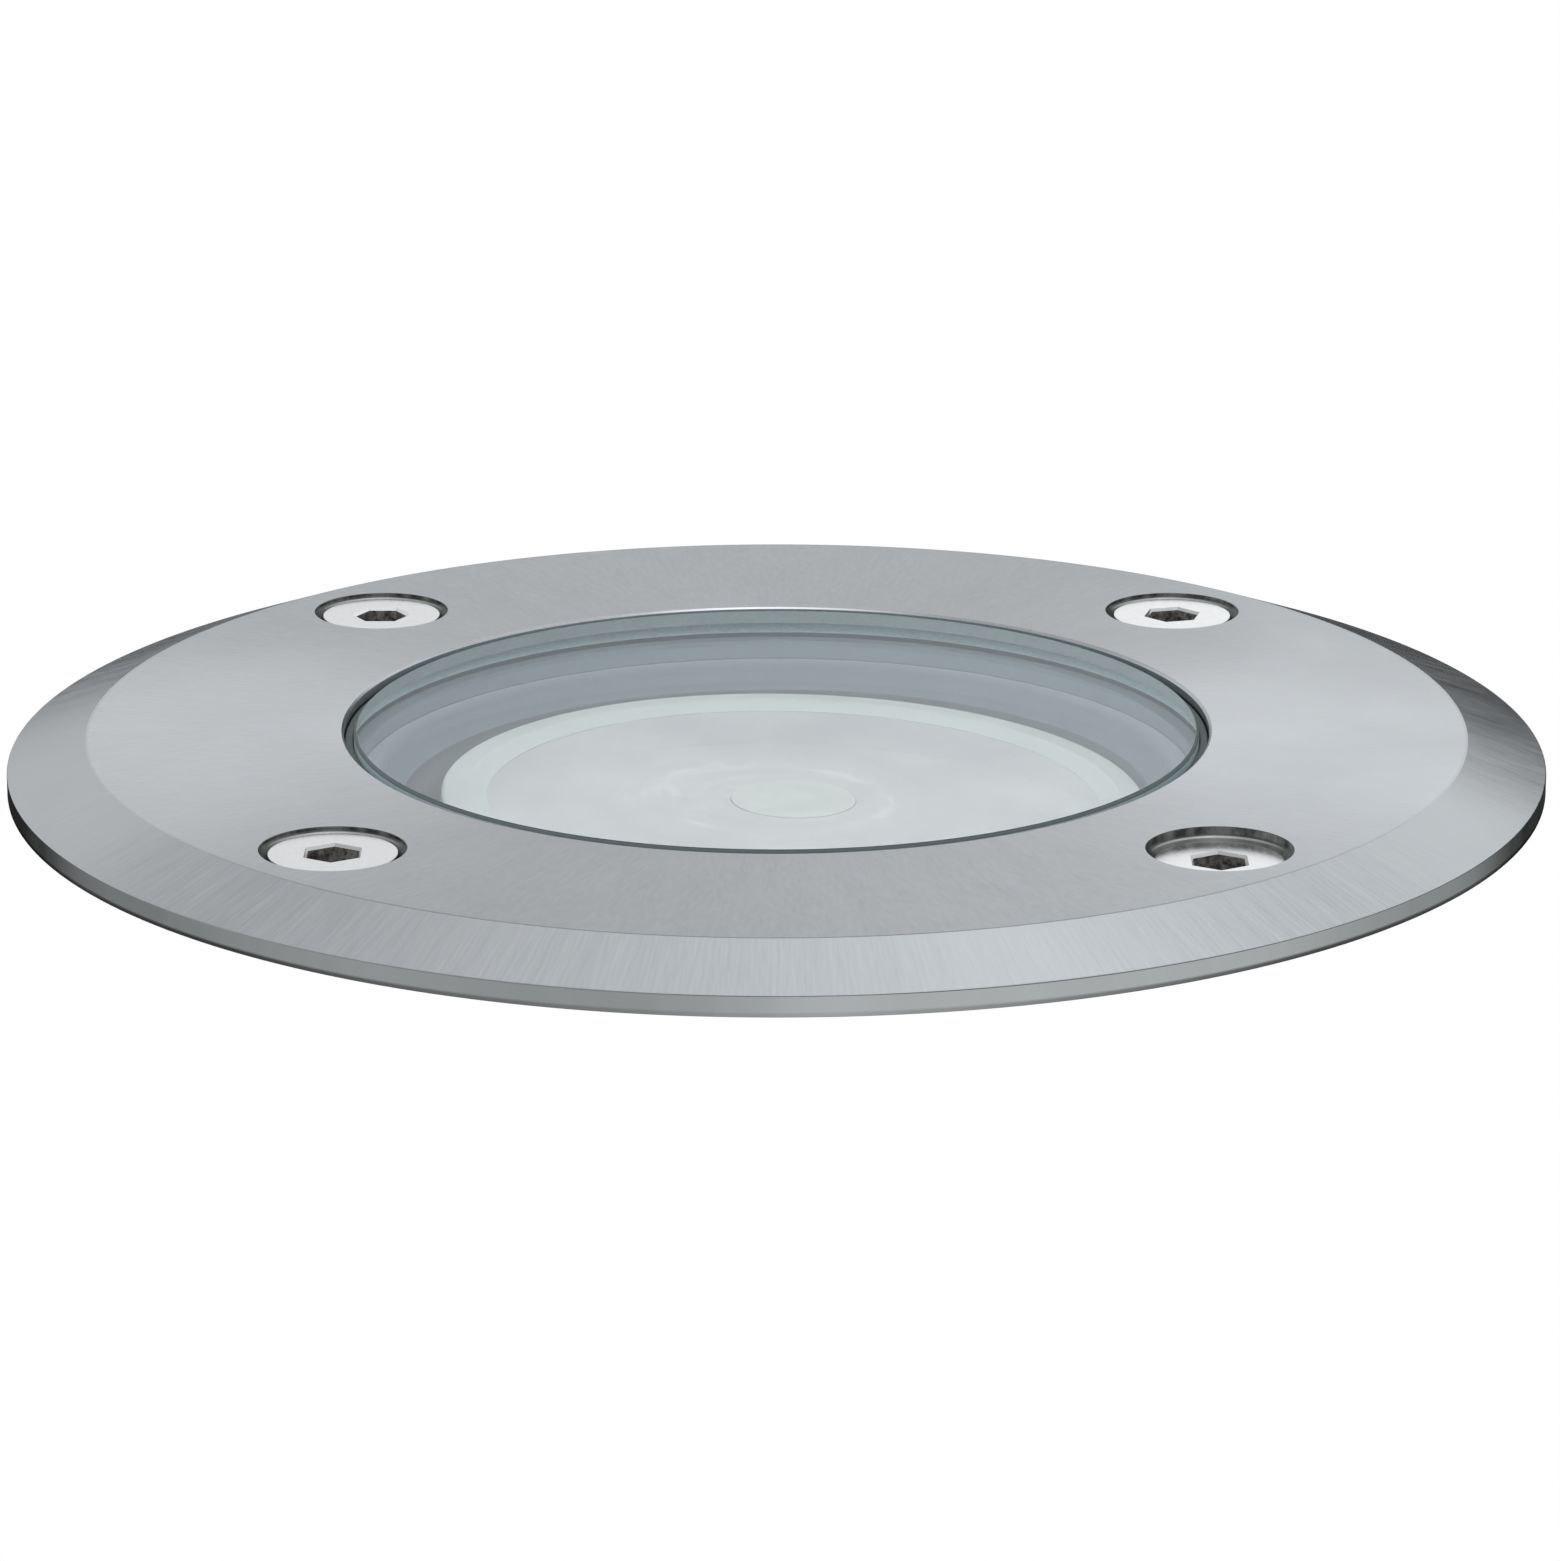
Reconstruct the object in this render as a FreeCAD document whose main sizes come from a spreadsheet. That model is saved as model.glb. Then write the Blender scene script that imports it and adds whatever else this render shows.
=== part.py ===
import FreeCAD, Part
import math
import os
import re

import Sketcher
from FreeCAD import Placement, Rotation, Vector

# In ground well light: a bevelled steel cover ring with four countersunk screws clamps a stepped
# glass over a lamp in a cast can, which hangs in a plastic sleeve set in the ground.
# Millimetres, +Z up. The origin is the centre of the light at ground level, which is the plane
# that the underside of the cover ring rests on. The front is -Y.

SIZES = {
    # Cover ring
    "rim_radius": (55, "outside radius of the cover ring"),
    "rim_height": (1.5, "upright edge of the cover ring"),
    "rim_break": (0.2, "broken lower edge of the rim"),
    "flat_width": (18.4, "width of the flat top from the window to the bevel"),
    "cover_height": (3.55, "flat top of the cover ring above the ground"),
    "opening_radius": (31, "radius of the window in the cover ring"),
    "opening_break": (0.3, "broken top edge of the window"),
    # Cover screws, their holes and what they screw into
    "screw_reach": (11.426, "middle of each cover screw beyond the edge of the window"),
    "sink_radius": (5, "radius of a countersink at the top"),
    "screw_hole_radius": (2.8, "radius of a screw hole below its countersink"),
    "sink_gap": (0.1, "radial gap between a screw head and its countersink"),
    "deep_drop": (0.55, "how much deeper the front right countersink is"),
    "head_radius": (4.4, "radius of a cover screw head"),
    "head_land": (0.2, "straight edge of a cover screw head"),
    "screw_radius": (2.5, "radius of a cover screw thread"),
    "screw_length": (16, "length of a cover screw with its head"),
    "screw_tip_break": (0.5, "chamfer at the tip of a cover screw"),
    "screw_fit": (0.05, "radial running gap round a cover screw"),
    "socket_flats": (3.5, "width across the flats of a hex socket"),
    "socket_depth": (1.7, "depth of a hex socket"),
    "front_socket_turn": (30, "degrees that the front sockets are turned"),
    "right_socket_turn": (15, "degrees that the back right socket is turned"),
    "retainer_radius": (3.9, "outside radius of a screw retaining washer"),
    "retainer_height": (0.8, "thickness of a screw retaining washer"),
    "pocket_radius": (4.2, "radius of the pocket that a retaining washer rises in"),
    "pocket_depth": (4.8, "bottom of that pocket below the ground"),
    "pocket_floor_gap": (0.2, "gap under a retaining washer"),
    "insert_radius": (3.6, "outside radius of a threaded insert"),
    "insert_length": (8, "length of a threaded insert"),
    "insert_hole_extra": (1.5, "depth of the hole below an insert"),
    # Glass and its gaskets
    "glass_recess": (0.05, "top of the glass below the top of the cover ring"),
    "glass_thickness": (8, "thickness of the glass"),
    "glass_gap": (0.55, "gap between the glass and the window"),
    "glass_chamfer": (0.9, "polished chamfer round the top of the glass"),
    "glass_step": (4.05, "width of the step that is clamped"),
    "glass_shoulder_break": (0.5, "broken edges of that step"),
    "gasket_width": (3, "width of both gaskets"),
    "gasket_inset": (0.2, "outer edge of a gasket inside the glass step"),
    "upper_gasket_height": (0.8, "thickness of the gasket over the glass step"),
    "lower_gasket_height": (1.5, "thickness of the gasket under the glass"),
    # Housing
    "clamp_gap": (0.2, "gap between the cover ring and the housing flange"),
    "flange_width": (16.8, "width of the housing flange beyond the window"),
    "flange_height": (4, "thickness of the housing flange"),
    "glass_pocket_gap": (0.5, "gap between the glass step and the housing"),
    "collar_wall": (3, "wall of the collar under the flange round the glass pocket"),
    "collar_bottom": (18, "bottom of that collar below the ground"),
    "can_seat": (5, "how far the can reaches into the collar"),
    "can_fit": (0.05, "radial gap between the can and the collar"),
    "boss_radius": (5.2, "radius of the bosses round the inserts"),
    "boss_bottom": (17, "bottom of the bosses below the ground"),
    "trim_ledge_depth": (10.2, "ledge under the trim ring below the ground"),
    "trim_ledge_width": (2, "width of that ledge, which ends at the inside of the can"),
    "can_wall": (4, "wall of the can"),
    "can_floor_depth": (86, "inside of the can floor below the ground"),
    "can_floor_height": (4, "thickness of the can floor"),
    "rib_rise": (4, "how far the ribs stand out of the can"),
    "rib_width": (3, "width of a rib on the can"),
    "rib_end": (4, "end of the ribs above the underside of the can"),
    # Trim ring round the lamp
    "trim_gap": (0.2, "gap between the trim ring and its bore"),
    "trim_top_gap": (0.3, "gap between the trim ring and the glass"),
    "trim_lip": (1.2, "width of the flat top of the trim ring"),
    "lamp_clearance": (1.65, "gap between the trim ring and the lamp"),
    "trim_slope_height": (3.1, "height of the sloped face of the trim ring"),
    # Lamp, measured up from the base plane that meets its holder
    "face_depth": (11.2, "lamp face below the top of the cover ring"),
    "lamp_length": (50, "lamp from its base plane to its face"),
    "lamp_lean": (1.4, "degrees that the lamp leans to the right in its holder"),
    "lamp_inset": (5.65, "outside of the lamp rim inside the edge of the window"),
    "bezel_height": (2.2, "height of the lamp rim"),
    "bezel_width": (3.3, "visible width of the lamp rim"),
    "bezel_lip": (0.5, "thickness of the rim over the diffuser"),
    "bezel_break": (0.4, "broken outer edge of the lamp rim"),
    "diffuser_hold": (1.2, "how far the diffuser reaches under the rim"),
    "diffuser_gap": (0.1, "gap round the diffuser"),
    "spot_radius": (4.5, "radius of the disc in the middle of the diffuser"),
    "spot_depth": (1, "depth of its recess"),
    "spot_rise": (0.1, "how far it stands proud of the diffuser"),
    "spot_gap": (0.05, "gap round the disc in its recess"),
    "cup_wall": (3, "wall of the lamp cup at its top"),
    "cup_shoulder": (40, "height where the cup starts to narrow"),
    "cup_waist": (20, "height where the cup stops narrowing"),
    "cup_waist_radius": (15, "outside radius of the cup at its waist"),
    "cup_neck_radius": (14, "outside radius of the cup at its base"),
    "cup_neck_wall": (2, "wall of the neck of the cup"),
    "board_level": (38, "underside of the light board"),
    "board_ledge": (2.3, "width of the ledge under the light board"),
    "board_gap": (0.25, "gap round the light board"),
    "board_height": (1.6, "thickness of the light board and the driver board"),
    "emitter_radius": (6, "radius of the light emitter"),
    "emitter_height": (1, "height of the light emitter"),
    "driver_width": (18, "width of the driver board"),
    "driver_height": (19, "height of the driver board"),
    "driver_coil_radius": (3.5, "radius of the coil on the driver board"),
    "driver_coil_height": (4, "height of the coil off the driver board"),
    "base_radius": (13.8, "radius of the lamp base"),
    "base_break": (0.6, "broken lower edge of the lamp base"),
    "base_height": (10, "height of the lamp base below the cup"),
    "base_spigot": (4, "height of the lamp base inside the cup"),
    "spigot_gap": (0.2, "gap between the lamp base and the cup"),
    "pin_offset": (5, "lamp pins from the middle of the base"),
    "pin_radius": (1.5, "radius of a lamp pin"),
    "pin_foot_radius": (2.4, "radius of the foot of a lamp pin"),
    "pin_foot_height": (3, "height of the foot of a lamp pin"),
    "pin_length": (7, "lamp pin below the base"),
    "pin_root": (3, "lamp pin inside the base"),
    # Lampholder and its bracket
    "holder_gap": (0.4, "gap between the lamp base and the holder"),
    "holder_radius": (14.5, "outside radius of the holder"),
    "holder_height": (15, "height of the holder"),
    "holder_break": (1, "broken top edge of the holder"),
    "holder_stud_radius": (4, "radius of the stud under the holder"),
    "slot_gap": (0.4, "gap between a lamp pin and its slot"),
    "slot_turn": (30, "degrees that the lamp turns to unlock"),
    "slot_plate": (3, "thickness of the holder over the pin feet"),
    "slot_depth": (9.4, "depth of the slots in the holder"),
    "contact_radius": (2.2, "radius of a holder contact"),
    "contact_height": (0.8, "height of a holder contact"),
    "bracket_end_gap": (2, "gap between the ends of the bracket and the can"),
    "bracket_end": (3.5, "end of the bracket beyond its screw"),
    "bracket_width": (14, "width of the bracket"),
    "bracket_height": (1.5, "thickness of the bracket"),
    "bracket_gap": (0.1, "gap round what passes through the bracket"),
    "post_radius": (3.5, "radius of the bracket posts"),
    "small_screw_radius": (1.5, "radius of a small screw"),
    "small_head_radius": (2.8, "radius of the head of a small screw"),
    "small_head_height": (2, "height of the head of a small screw"),
    "small_screw_length": (7, "length of a small screw below its head"),
    "small_screw_fit": (0.1, "radial gap round a small screw"),
    "drive_slot_width": (0.8, "width of the slot in a small screw"),
    "drive_slot_depth": (1, "depth of the slot in a small screw"),
    # Terminal block, earth point and leads
    "block_length": (20, "length of the terminal block"),
    "block_width": (10, "width of the terminal block"),
    "block_height": (11, "height of the terminal block"),
    "block_setback": (8, "middle of the terminal block inside the wall of the can"),
    "pole_pitch": (6.5, "distance between the poles of the terminal block"),
    "supply_hole_radius": (1.6, "radius of the supply entries of the block"),
    "supply_hole_height": (4.5, "supply entries above the can floor"),
    "pole_width": (4, "width of a contact in the terminal block"),
    "pole_height": (3, "height of a contact in the terminal block"),
    "pole_gap": (0.1, "gap round a contact in the terminal block"),
    "lead_radius": (0.9, "radius of a lead"),
    "lead_fit": (0.1, "radial gap round a lead where it enters something"),
    "lead_grip": (3, "length of lead inside the terminal block"),
    "lead_bend": (3, "radius of the bends of a lead"),
    "lead_rise": (6, "straight rise of a lead out of the block"),
    "holder_lead_reach": (5, "length of lead inside the holder"),
    "earth_setback": (5, "earth screw inside the wall of the can"),
    "earth_turn": (35.7, "degrees that the earth screw lies in front of the right"),
    "earth_boss_radius": (4.5, "radius of the boss under the earth tag"),
    "earth_boss_height": (5, "height of that boss above the can floor"),
    "earth_tag_radius": (4, "radius of the earth tag"),
    "earth_tag_height": (1, "thickness of the earth tag"),
    "earth_lead_short": (4.2, "end of the earth lead short of the screw"),
    # Cable gland
    "gland_radius": (8, "radius of the threads of the gland"),
    "gland_fit": (0.1, "radial gap round those threads"),
    "gland_flats": (22, "width across the flats of the gland"),
    "gland_hex_height": (5, "height of the hexagon of the gland"),
    "gland_washer_radius": (10.4, "outside radius of the gland washer"),
    "gland_washer_height": (1.2, "thickness of the gland washer"),
    "locknut_flats": (20, "width across the flats of the locknut"),
    "locknut_height": (4, "height of the locknut"),
    "gland_stub": (1, "thread of the gland above its locknut"),
    "gland_bore_radius": (4.6, "cable passage of the gland"),
    "gland_barrel_length": (8, "length of the lower thread of the gland"),
    "seal_radius": (6.3, "outside radius of the rubber seal"),
    "seal_bore_radius": (3.2, "bore of the rubber seal"),
    "seal_length": (9, "length of the rubber seal"),
    "seal_gap": (0.8, "gap over the rubber seal"),
    "cap_clear": (1, "gap between the gland hexagon and its cap"),
    "cap_hex_height": (8.5, "height of the hexagon of the cap"),
    "cap_length": (14, "length of the cap"),
    "cap_wall": (1.9, "thickness of the end of the cap"),
    "cap_end_radius": (7, "outside radius of the end of the cap"),
    # Mounting sleeve
    "sleeve_gap": (0.8, "gap between the housing flange and the sleeve"),
    "sleeve_wall": (2.4, "wall of the sleeve"),
    "sleeve_depth": (116, "depth of the sleeve below the ground"),
    "sleeve_lip_width": (4.6, "how far the lip at the bottom of the sleeve reaches in"),
    "sleeve_lip_height": (2.5, "thickness of that lip"),
    "window_width": (18, "width of a window in the sleeve"),
    "window_sill": (10, "bottom of the windows above the bottom of the sleeve"),
    "window_height": (38, "height of the windows to their crown"),
    # Cutters
    "cut_margin": (1, "how far a cutter passes the face that it opens"),
}

# Heights and radii that several pieces share. The bore that holds the trim ring is as wide as the window.
FLAT_RADIUS = "(opening_radius + flat_width)"
SCREW_OFFSET = "((opening_radius + screw_reach) / sqrt(2))"
GLASS_TOP = "(cover_height - glass_recess)"
GLASS_BOTTOM = f"({GLASS_TOP} - glass_thickness)"
GLASS_SEAT = f"({GLASS_BOTTOM} - lower_gasket_height)"
GLASS_NECK = "(opening_radius - glass_gap)"
GLASS_SHOULDER = f"({GLASS_NECK} + glass_step)"
GLASS_POCKET = f"({GLASS_SHOULDER} + glass_pocket_gap)"
COLLAR_RADIUS = f"({GLASS_POCKET} + collar_wall)"
FLANGE_RADIUS = "(opening_radius + flange_width)"
TRIM_BORE = "opening_radius"
CAN_BORE = f"({TRIM_BORE} - trim_ledge_width)"
CAN_RADIUS = f"({CAN_BORE} + can_wall)"
CAN_FLOOR = "(-can_floor_depth)"
CAN_BOTTOM = "(-can_floor_depth - can_floor_height)"
CAN_TOP = "(can_seat - collar_bottom)"
SINK_BOTTOM = "(cover_height - sink_radius + screw_hole_radius)"
HEAD_TOP = "(cover_height - sink_radius + head_radius + sink_gap + head_land)"
INSERT_BORE = "(screw_radius + screw_fit)"
LAMP_BASE = "(cover_height - face_depth - lamp_length)"
LAMP_RADIUS = "(opening_radius - lamp_inset)"
TRIM_INNER = f"({LAMP_RADIUS} + lamp_clearance)"
CUP_TOP = "(lamp_length - bezel_height)"
CUP_BORE = f"({LAMP_RADIUS} - cup_wall)"
DIFFUSER_TOP = "(lamp_length - bezel_lip)"
BEZEL_BORE = f"({LAMP_RADIUS} - bezel_width)"
DIFFUSER_RADIUS = f"({BEZEL_BORE} + diffuser_hold)"
HOLDER_TOP = f"({LAMP_BASE} - holder_gap)"
HOLDER_BOTTOM = f"({HOLDER_TOP} - holder_height)"
BRACKET_BOTTOM = f"({HOLDER_BOTTOM} - bracket_height)"
POST_OFFSET = f"({CAN_BORE} - bracket_end_gap - bracket_end)"
BLOCK_OFFSET = f"({CAN_BORE} - block_setback)"
BLOCK_TOP = "(block_height - can_floor_depth)"
LEAD_LEVEL = f"({BLOCK_TOP} + lead_rise + lead_bend)"
EARTH_BOSS_TOP = f"({CAN_FLOOR} + earth_boss_height)"
EARTH_ACROSS = f"(({CAN_BORE} - earth_setback) * cos(earth_turn * 1deg))"
EARTH_FORWARD = f"(({CAN_BORE} - earth_setback) * sin(earth_turn * 1deg))"
GLAND_THREAD_TOP = f"({CAN_FLOOR} + locknut_height + gland_stub)"
HEX_TOP = f"({CAN_BOTTOM} - gland_washer_height)"
HEX_BOTTOM = f"({HEX_TOP} - gland_hex_height)"
BARREL_BOTTOM = f"({HEX_BOTTOM} - gland_barrel_length)"
CAP_TOP = f"({HEX_BOTTOM} - cap_clear)"
CAP_BOTTOM = f"({CAP_TOP} - cap_length)"
SLEEVE_BORE = f"({FLANGE_RADIUS} + sleeve_gap)"
SLEEVE_RADIUS = f"({SLEEVE_BORE} + sleeve_wall)"
SLEEVE_LIP = f"({SLEEVE_BORE} - sleeve_lip_width)"

# Each cover screw: its side of the two centre lines, the turn of its socket and its extra depth
COVER_SCREWS = {
    "front_left": (-1, -1, "front_socket_turn", "0"),
    "front_right": (1, -1, "front_socket_turn", "deep_drop"),
    "back_left": (-1, 1, "0", "0"),
    "back_right": (1, 1, "right_socket_turn", "0"),
}
ENDS = (-1, 1)
RIB_PAIRS = 4
POLES = {"live": -1, "neutral": 0, "earth": 1}

UP = Vector(0, 0, 1)
ALONG_X = Vector(1, 0, 0)
ALONG_Y = Vector(0, 1, 0)
QUARTER = 90
CENTRE = ("0", "0", "0")

DOC = FreeCAD.newDocument("well_light")
SUBPARTS = []


def write_sizes():
    """Fill the sheet: what a size is, and its value under its alias."""
    sheet = DOC.addObject("Spreadsheet::Sheet", "Sizes")
    for row, (name, (value, meaning)) in enumerate(SIZES.items(), 1):
        sheet.set(f"A{row}", meaning)
        sheet.set(f"B{row}", str(value))
        sheet.setAlias(f"B{row}", name)
    DOC.recompute()


def linked(expression):
    """Point each size that an expression names at its cell of the sheet."""
    return re.sub(r"[a-z_]+", lambda word: f"Sizes.{word[0]}" if word[0] in SIZES else word[0], expression)


def put(item, at=CENTRE, turn=None, axis=UP, held=None):
    """Bind an object's place to the sheet, with a turn about an axis or a fixed rotation."""
    item.Placement = Placement(Vector(), held or Rotation(axis, 1 if turn else 0))
    for letter, expression in zip("xyz", at):
        item.setExpression(f"Placement.Base.{letter}", linked(expression))
    if turn:
        item.setExpression("Placement.Rotation.Angle", linked(turn))
    return item


def primitive(kind, name, sizes, **place):
    """Add one of Part's primitives with its sizes and its place bound to the sheet."""
    item = DOC.addObject(f"Part::{kind}", name)
    for size, expression in sizes.items():
        item.setExpression(size, linked(expression))
    return put(item, **place)


def cylinder(name, radius, height, **place):
    return primitive("Cylinder", name, {"Radius": radius, "Height": height}, **place)


def cone(name, low_radius, high_radius, height, **place):
    return primitive("Cone", name, {"Radius1": low_radius, "Radius2": high_radius, "Height": height}, **place)


def box(name, size, middle, **place):
    """A box centred across X and Y on a point, standing on its height."""
    corner = (f"{middle[0]} - ({size[0]}) / 2", f"{middle[1]} - ({size[1]}) / 2", middle[2])
    return primitive("Box", name, dict(zip(("Length", "Width", "Height"), size)), at=corner, **place)


def bar(name, length, width, bottom, height, degrees):
    """A box through the Z axis, turned about it, for two equal ribs or slots at once."""
    across, along = math.cos(math.radians(degrees)), math.sin(math.radians(degrees))
    at = (
        f"{-across:.9f} * ({length}) / 2 + {along:.9f} * ({width}) / 2",
        f"{-along:.9f} * ({length}) / 2 - {across:.9f} * ({width}) / 2",
        bottom,
    )
    sizes = {"Length": length, "Width": width, "Height": height}
    return primitive("Box", name, sizes, at=at, held=Rotation(UP, degrees))


def hexagon(name, flats, height, **place):
    """A six-sided prism from its width across the flats, with corners left and right."""
    item = DOC.addObject("Part::Prism", name)
    item.Polygon = 6
    item.setExpression("Circumradius", linked(f"({flats}) / sqrt(3)"))
    item.setExpression("Height", linked(height))
    return put(item, **place)


def quarter_bend(name, bend, radius, **place):
    """A quarter of a torus, for a bend of a lead."""
    item = primitive("Torus", name, {"Radius1": bend, "Radius2": radius}, **place)
    item.Angle3 = QUARTER
    return item


def joined(name, pieces, **place):
    item = DOC.addObject("Part::MultiFuse", name)
    item.Shapes = pieces
    item.Refine = True
    return put(item, **place)


def cut(name, base, tools, **place):
    item = DOC.addObject("Part::Cut", name)
    item.Base = base
    item.Tool = tools[0] if len(tools) == 1 else joined(f"{name}_cutters", tools)
    item.Refine = True
    return put(item, **place)


def origin_plane(body, role):
    return [plane for plane in body.Origin.OriginFeatures if plane.Role == role][0]


def draw_outline(sketch, corners):
    """Close straight lines through the corners, each held across and up by the sheet."""
    count = len(corners)
    start = [Vector(math.cos(math.tau * i / count), math.sin(math.tau * i / count), 0) for i in range(count)]
    sketch.addGeometry([Part.LineSegment(start[i], start[(i + 1) % count]) for i in range(count)], False)
    sketch.addConstraint([Sketcher.Constraint("Coincident", i, 2, (i + 1) % count, 1) for i in range(count)])
    for i, corner in enumerate(corners):
        for kind, direction, expression in zip(("DistanceX", "DistanceY"), ("across", "up"), corner):
            number = sketch.addConstraint(Sketcher.Constraint(kind, -1, 1, i, 1, 1.0))
            sketch.renameConstraint(number, f"{direction}{i}")
            sketch.setExpression(f"Constraints.{direction}{i}", linked(expression))


def turned(name, corners, **place):
    """Revolve an outline of (radius, height) corners about the Z axis."""
    body = DOC.addObject("PartDesign::Body", name)
    sketch = body.newObject("Sketcher::SketchObject", f"{name}_outline")
    sketch.AttachmentSupport = [(origin_plane(body, "XZ_Plane"), "")]
    sketch.MapMode = "FlatFace"
    draw_outline(sketch, corners)
    turn = body.newObject("PartDesign::Revolution", f"{name}_turn")
    turn.Profile = sketch
    turn.ReferenceAxis = (sketch, ["V_Axis"])
    turn.Angle = 360
    return put(body, **place)


def flat_ring(name, inner, outer, bottom, top, **place):
    return turned(name, [(inner, bottom), (outer, bottom), (outer, top), (inner, top)], **place)


def subpart(label, item):
    item.Label = label
    SUBPARTS.append(item)


def screw_place(across, forward, height):
    return (f"{across} * {SCREW_OFFSET}", f"{forward} * {SCREW_OFFSET}", height)


def make_cover_ring():
    """Bevelled ring with a round window and four countersunk holes."""
    blank = turned("ring_blank", [
        ("opening_radius", "0"),
        ("rim_radius - rim_break", "0"),
        ("rim_radius", "rim_break"),
        ("rim_radius", "rim_height"),
        (FLAT_RADIUS, "cover_height"),
        ("opening_radius + opening_break", "cover_height"),
        ("opening_radius", "cover_height - opening_break"),
    ])
    cutters = []
    for corner, (across, forward, _, drop) in COVER_SCREWS.items():
        start = screw_place(across, forward, "-cut_margin")
        through = "cover_height + cut_margin"
        cutters.append(cylinder(f"{corner}_hole", "screw_hole_radius", through, at=start))
        seat = screw_place(across, forward, f"{SINK_BOTTOM} - {drop}")
        depth = "sink_radius - screw_hole_radius"
        cutters.append(cone(f"{corner}_sink", "screw_hole_radius", "sink_radius", depth, at=seat))
        mouth = screw_place(across, forward, f"cover_height - {drop}")
        cutters.append(cylinder(f"{corner}_mouth", "sink_radius", f"{drop} + cut_margin", at=mouth))
    subpart("cover_ring", cut("ring_holes", blank, cutters))


def make_cover_screw(corner, across, forward, socket_turn, drop):
    """Countersunk screw with a hex socket; its own Z starts at the top of its head."""
    blank = turned(f"{corner}_screw_blank", [
        ("0", "-screw_length"),
        ("screw_radius - screw_tip_break", "-screw_length"),
        ("screw_radius", "screw_tip_break - screw_length"),
        ("screw_radius", "-head_land - head_radius + screw_radius"),
        ("head_radius", "-head_land"),
        ("head_radius", "0"),
        ("0", "0"),
    ])
    height = "socket_depth + cut_margin"
    socket = hexagon(f"{corner}_socket", "socket_flats", height, at=("0", "0", "-socket_depth"), turn=socket_turn)
    place = screw_place(across, forward, f"{HEAD_TOP} - {drop}")
    subpart(f"cover_screw_{corner}", cut(f"{corner}_screw", blank, [socket], at=place))


def make_screw_fittings(corner, across, forward):
    """The washer that keeps a screw in the ring, and the insert that it screws into."""
    washer_place = screw_place(across, forward, "pocket_floor_gap - pocket_depth")
    washer = flat_ring(f"{corner}_retainer", INSERT_BORE, "retainer_radius", "0", "retainer_height",
                       at=washer_place)
    subpart(f"screw_retainer_{corner}", washer)
    insert_place = screw_place(across, forward, "-pocket_depth - insert_length")
    insert = flat_ring(f"{corner}_insert", INSERT_BORE, "insert_radius", "0", "insert_length", at=insert_place)
    subpart(f"screw_insert_{corner}", insert)


def make_glass():
    """Thick stepped glass with a polished chamfer round its top."""
    subpart("glass_lens", turned("glass", [
        ("0", GLASS_BOTTOM),
        (f"{GLASS_SHOULDER} - glass_shoulder_break", GLASS_BOTTOM),
        (GLASS_SHOULDER, f"{GLASS_BOTTOM} + glass_shoulder_break"),
        (GLASS_SHOULDER, "-upper_gasket_height - glass_shoulder_break"),
        (f"{GLASS_SHOULDER} - glass_shoulder_break", "-upper_gasket_height"),
        (GLASS_NECK, "-upper_gasket_height"),
        (GLASS_NECK, f"{GLASS_TOP} - glass_chamfer"),
        (f"{GLASS_NECK} - glass_chamfer", GLASS_TOP),
        ("0", GLASS_TOP),
    ]))


def make_gaskets():
    outer = f"{GLASS_SHOULDER} - gasket_inset"
    inner = f"{outer} - gasket_width"
    subpart("upper_glass_gasket", flat_ring("upper_gasket", inner, outer, "-upper_gasket_height", "0"))
    subpart("lower_glass_gasket", flat_ring("lower_gasket", inner, outer, GLASS_SEAT, GLASS_BOTTOM))


def make_housing_flange():
    """Flange that the cover ring is screwed to, with the seats of the glass, the trim ring and the can."""
    outside = turned("flange_turned", [
        (f"{CAN_RADIUS} + can_fit", "-collar_bottom"),
        (COLLAR_RADIUS, "-collar_bottom"),
        (COLLAR_RADIUS, "-clamp_gap - flange_height"),
        (FLANGE_RADIUS, "-clamp_gap - flange_height"),
        (FLANGE_RADIUS, "-clamp_gap"),
        (GLASS_POCKET, "-clamp_gap"),
        (GLASS_POCKET, GLASS_SEAT),
        (TRIM_BORE, GLASS_SEAT),
        (TRIM_BORE, "-trim_ledge_depth"),
        (CAN_BORE, "-trim_ledge_depth"),
        (CAN_BORE, CAN_TOP),
        (f"{CAN_RADIUS} + can_fit", CAN_TOP),
    ])
    bosses, cutters = [], []
    hole_depth = "insert_length + insert_hole_extra"
    for corner, (across, forward, _, _) in COVER_SCREWS.items():
        place = screw_place(across, forward, "-boss_bottom")
        bosses.append(cylinder(f"{corner}_boss", "boss_radius", "boss_bottom - clamp_gap", at=place))
        place = screw_place(across, forward, "-pocket_depth")
        cutters.append(cylinder(f"{corner}_pocket", "pocket_radius", "pocket_depth", at=place))
        place = screw_place(across, forward, f"-pocket_depth - ({hole_depth})")
        cutters.append(cylinder(f"{corner}_insert_hole", "insert_radius", hole_depth, at=place))
    subpart("housing_flange", cut("flange_holes", joined("flange_solid", [outside, *bosses]), cutters))


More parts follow.
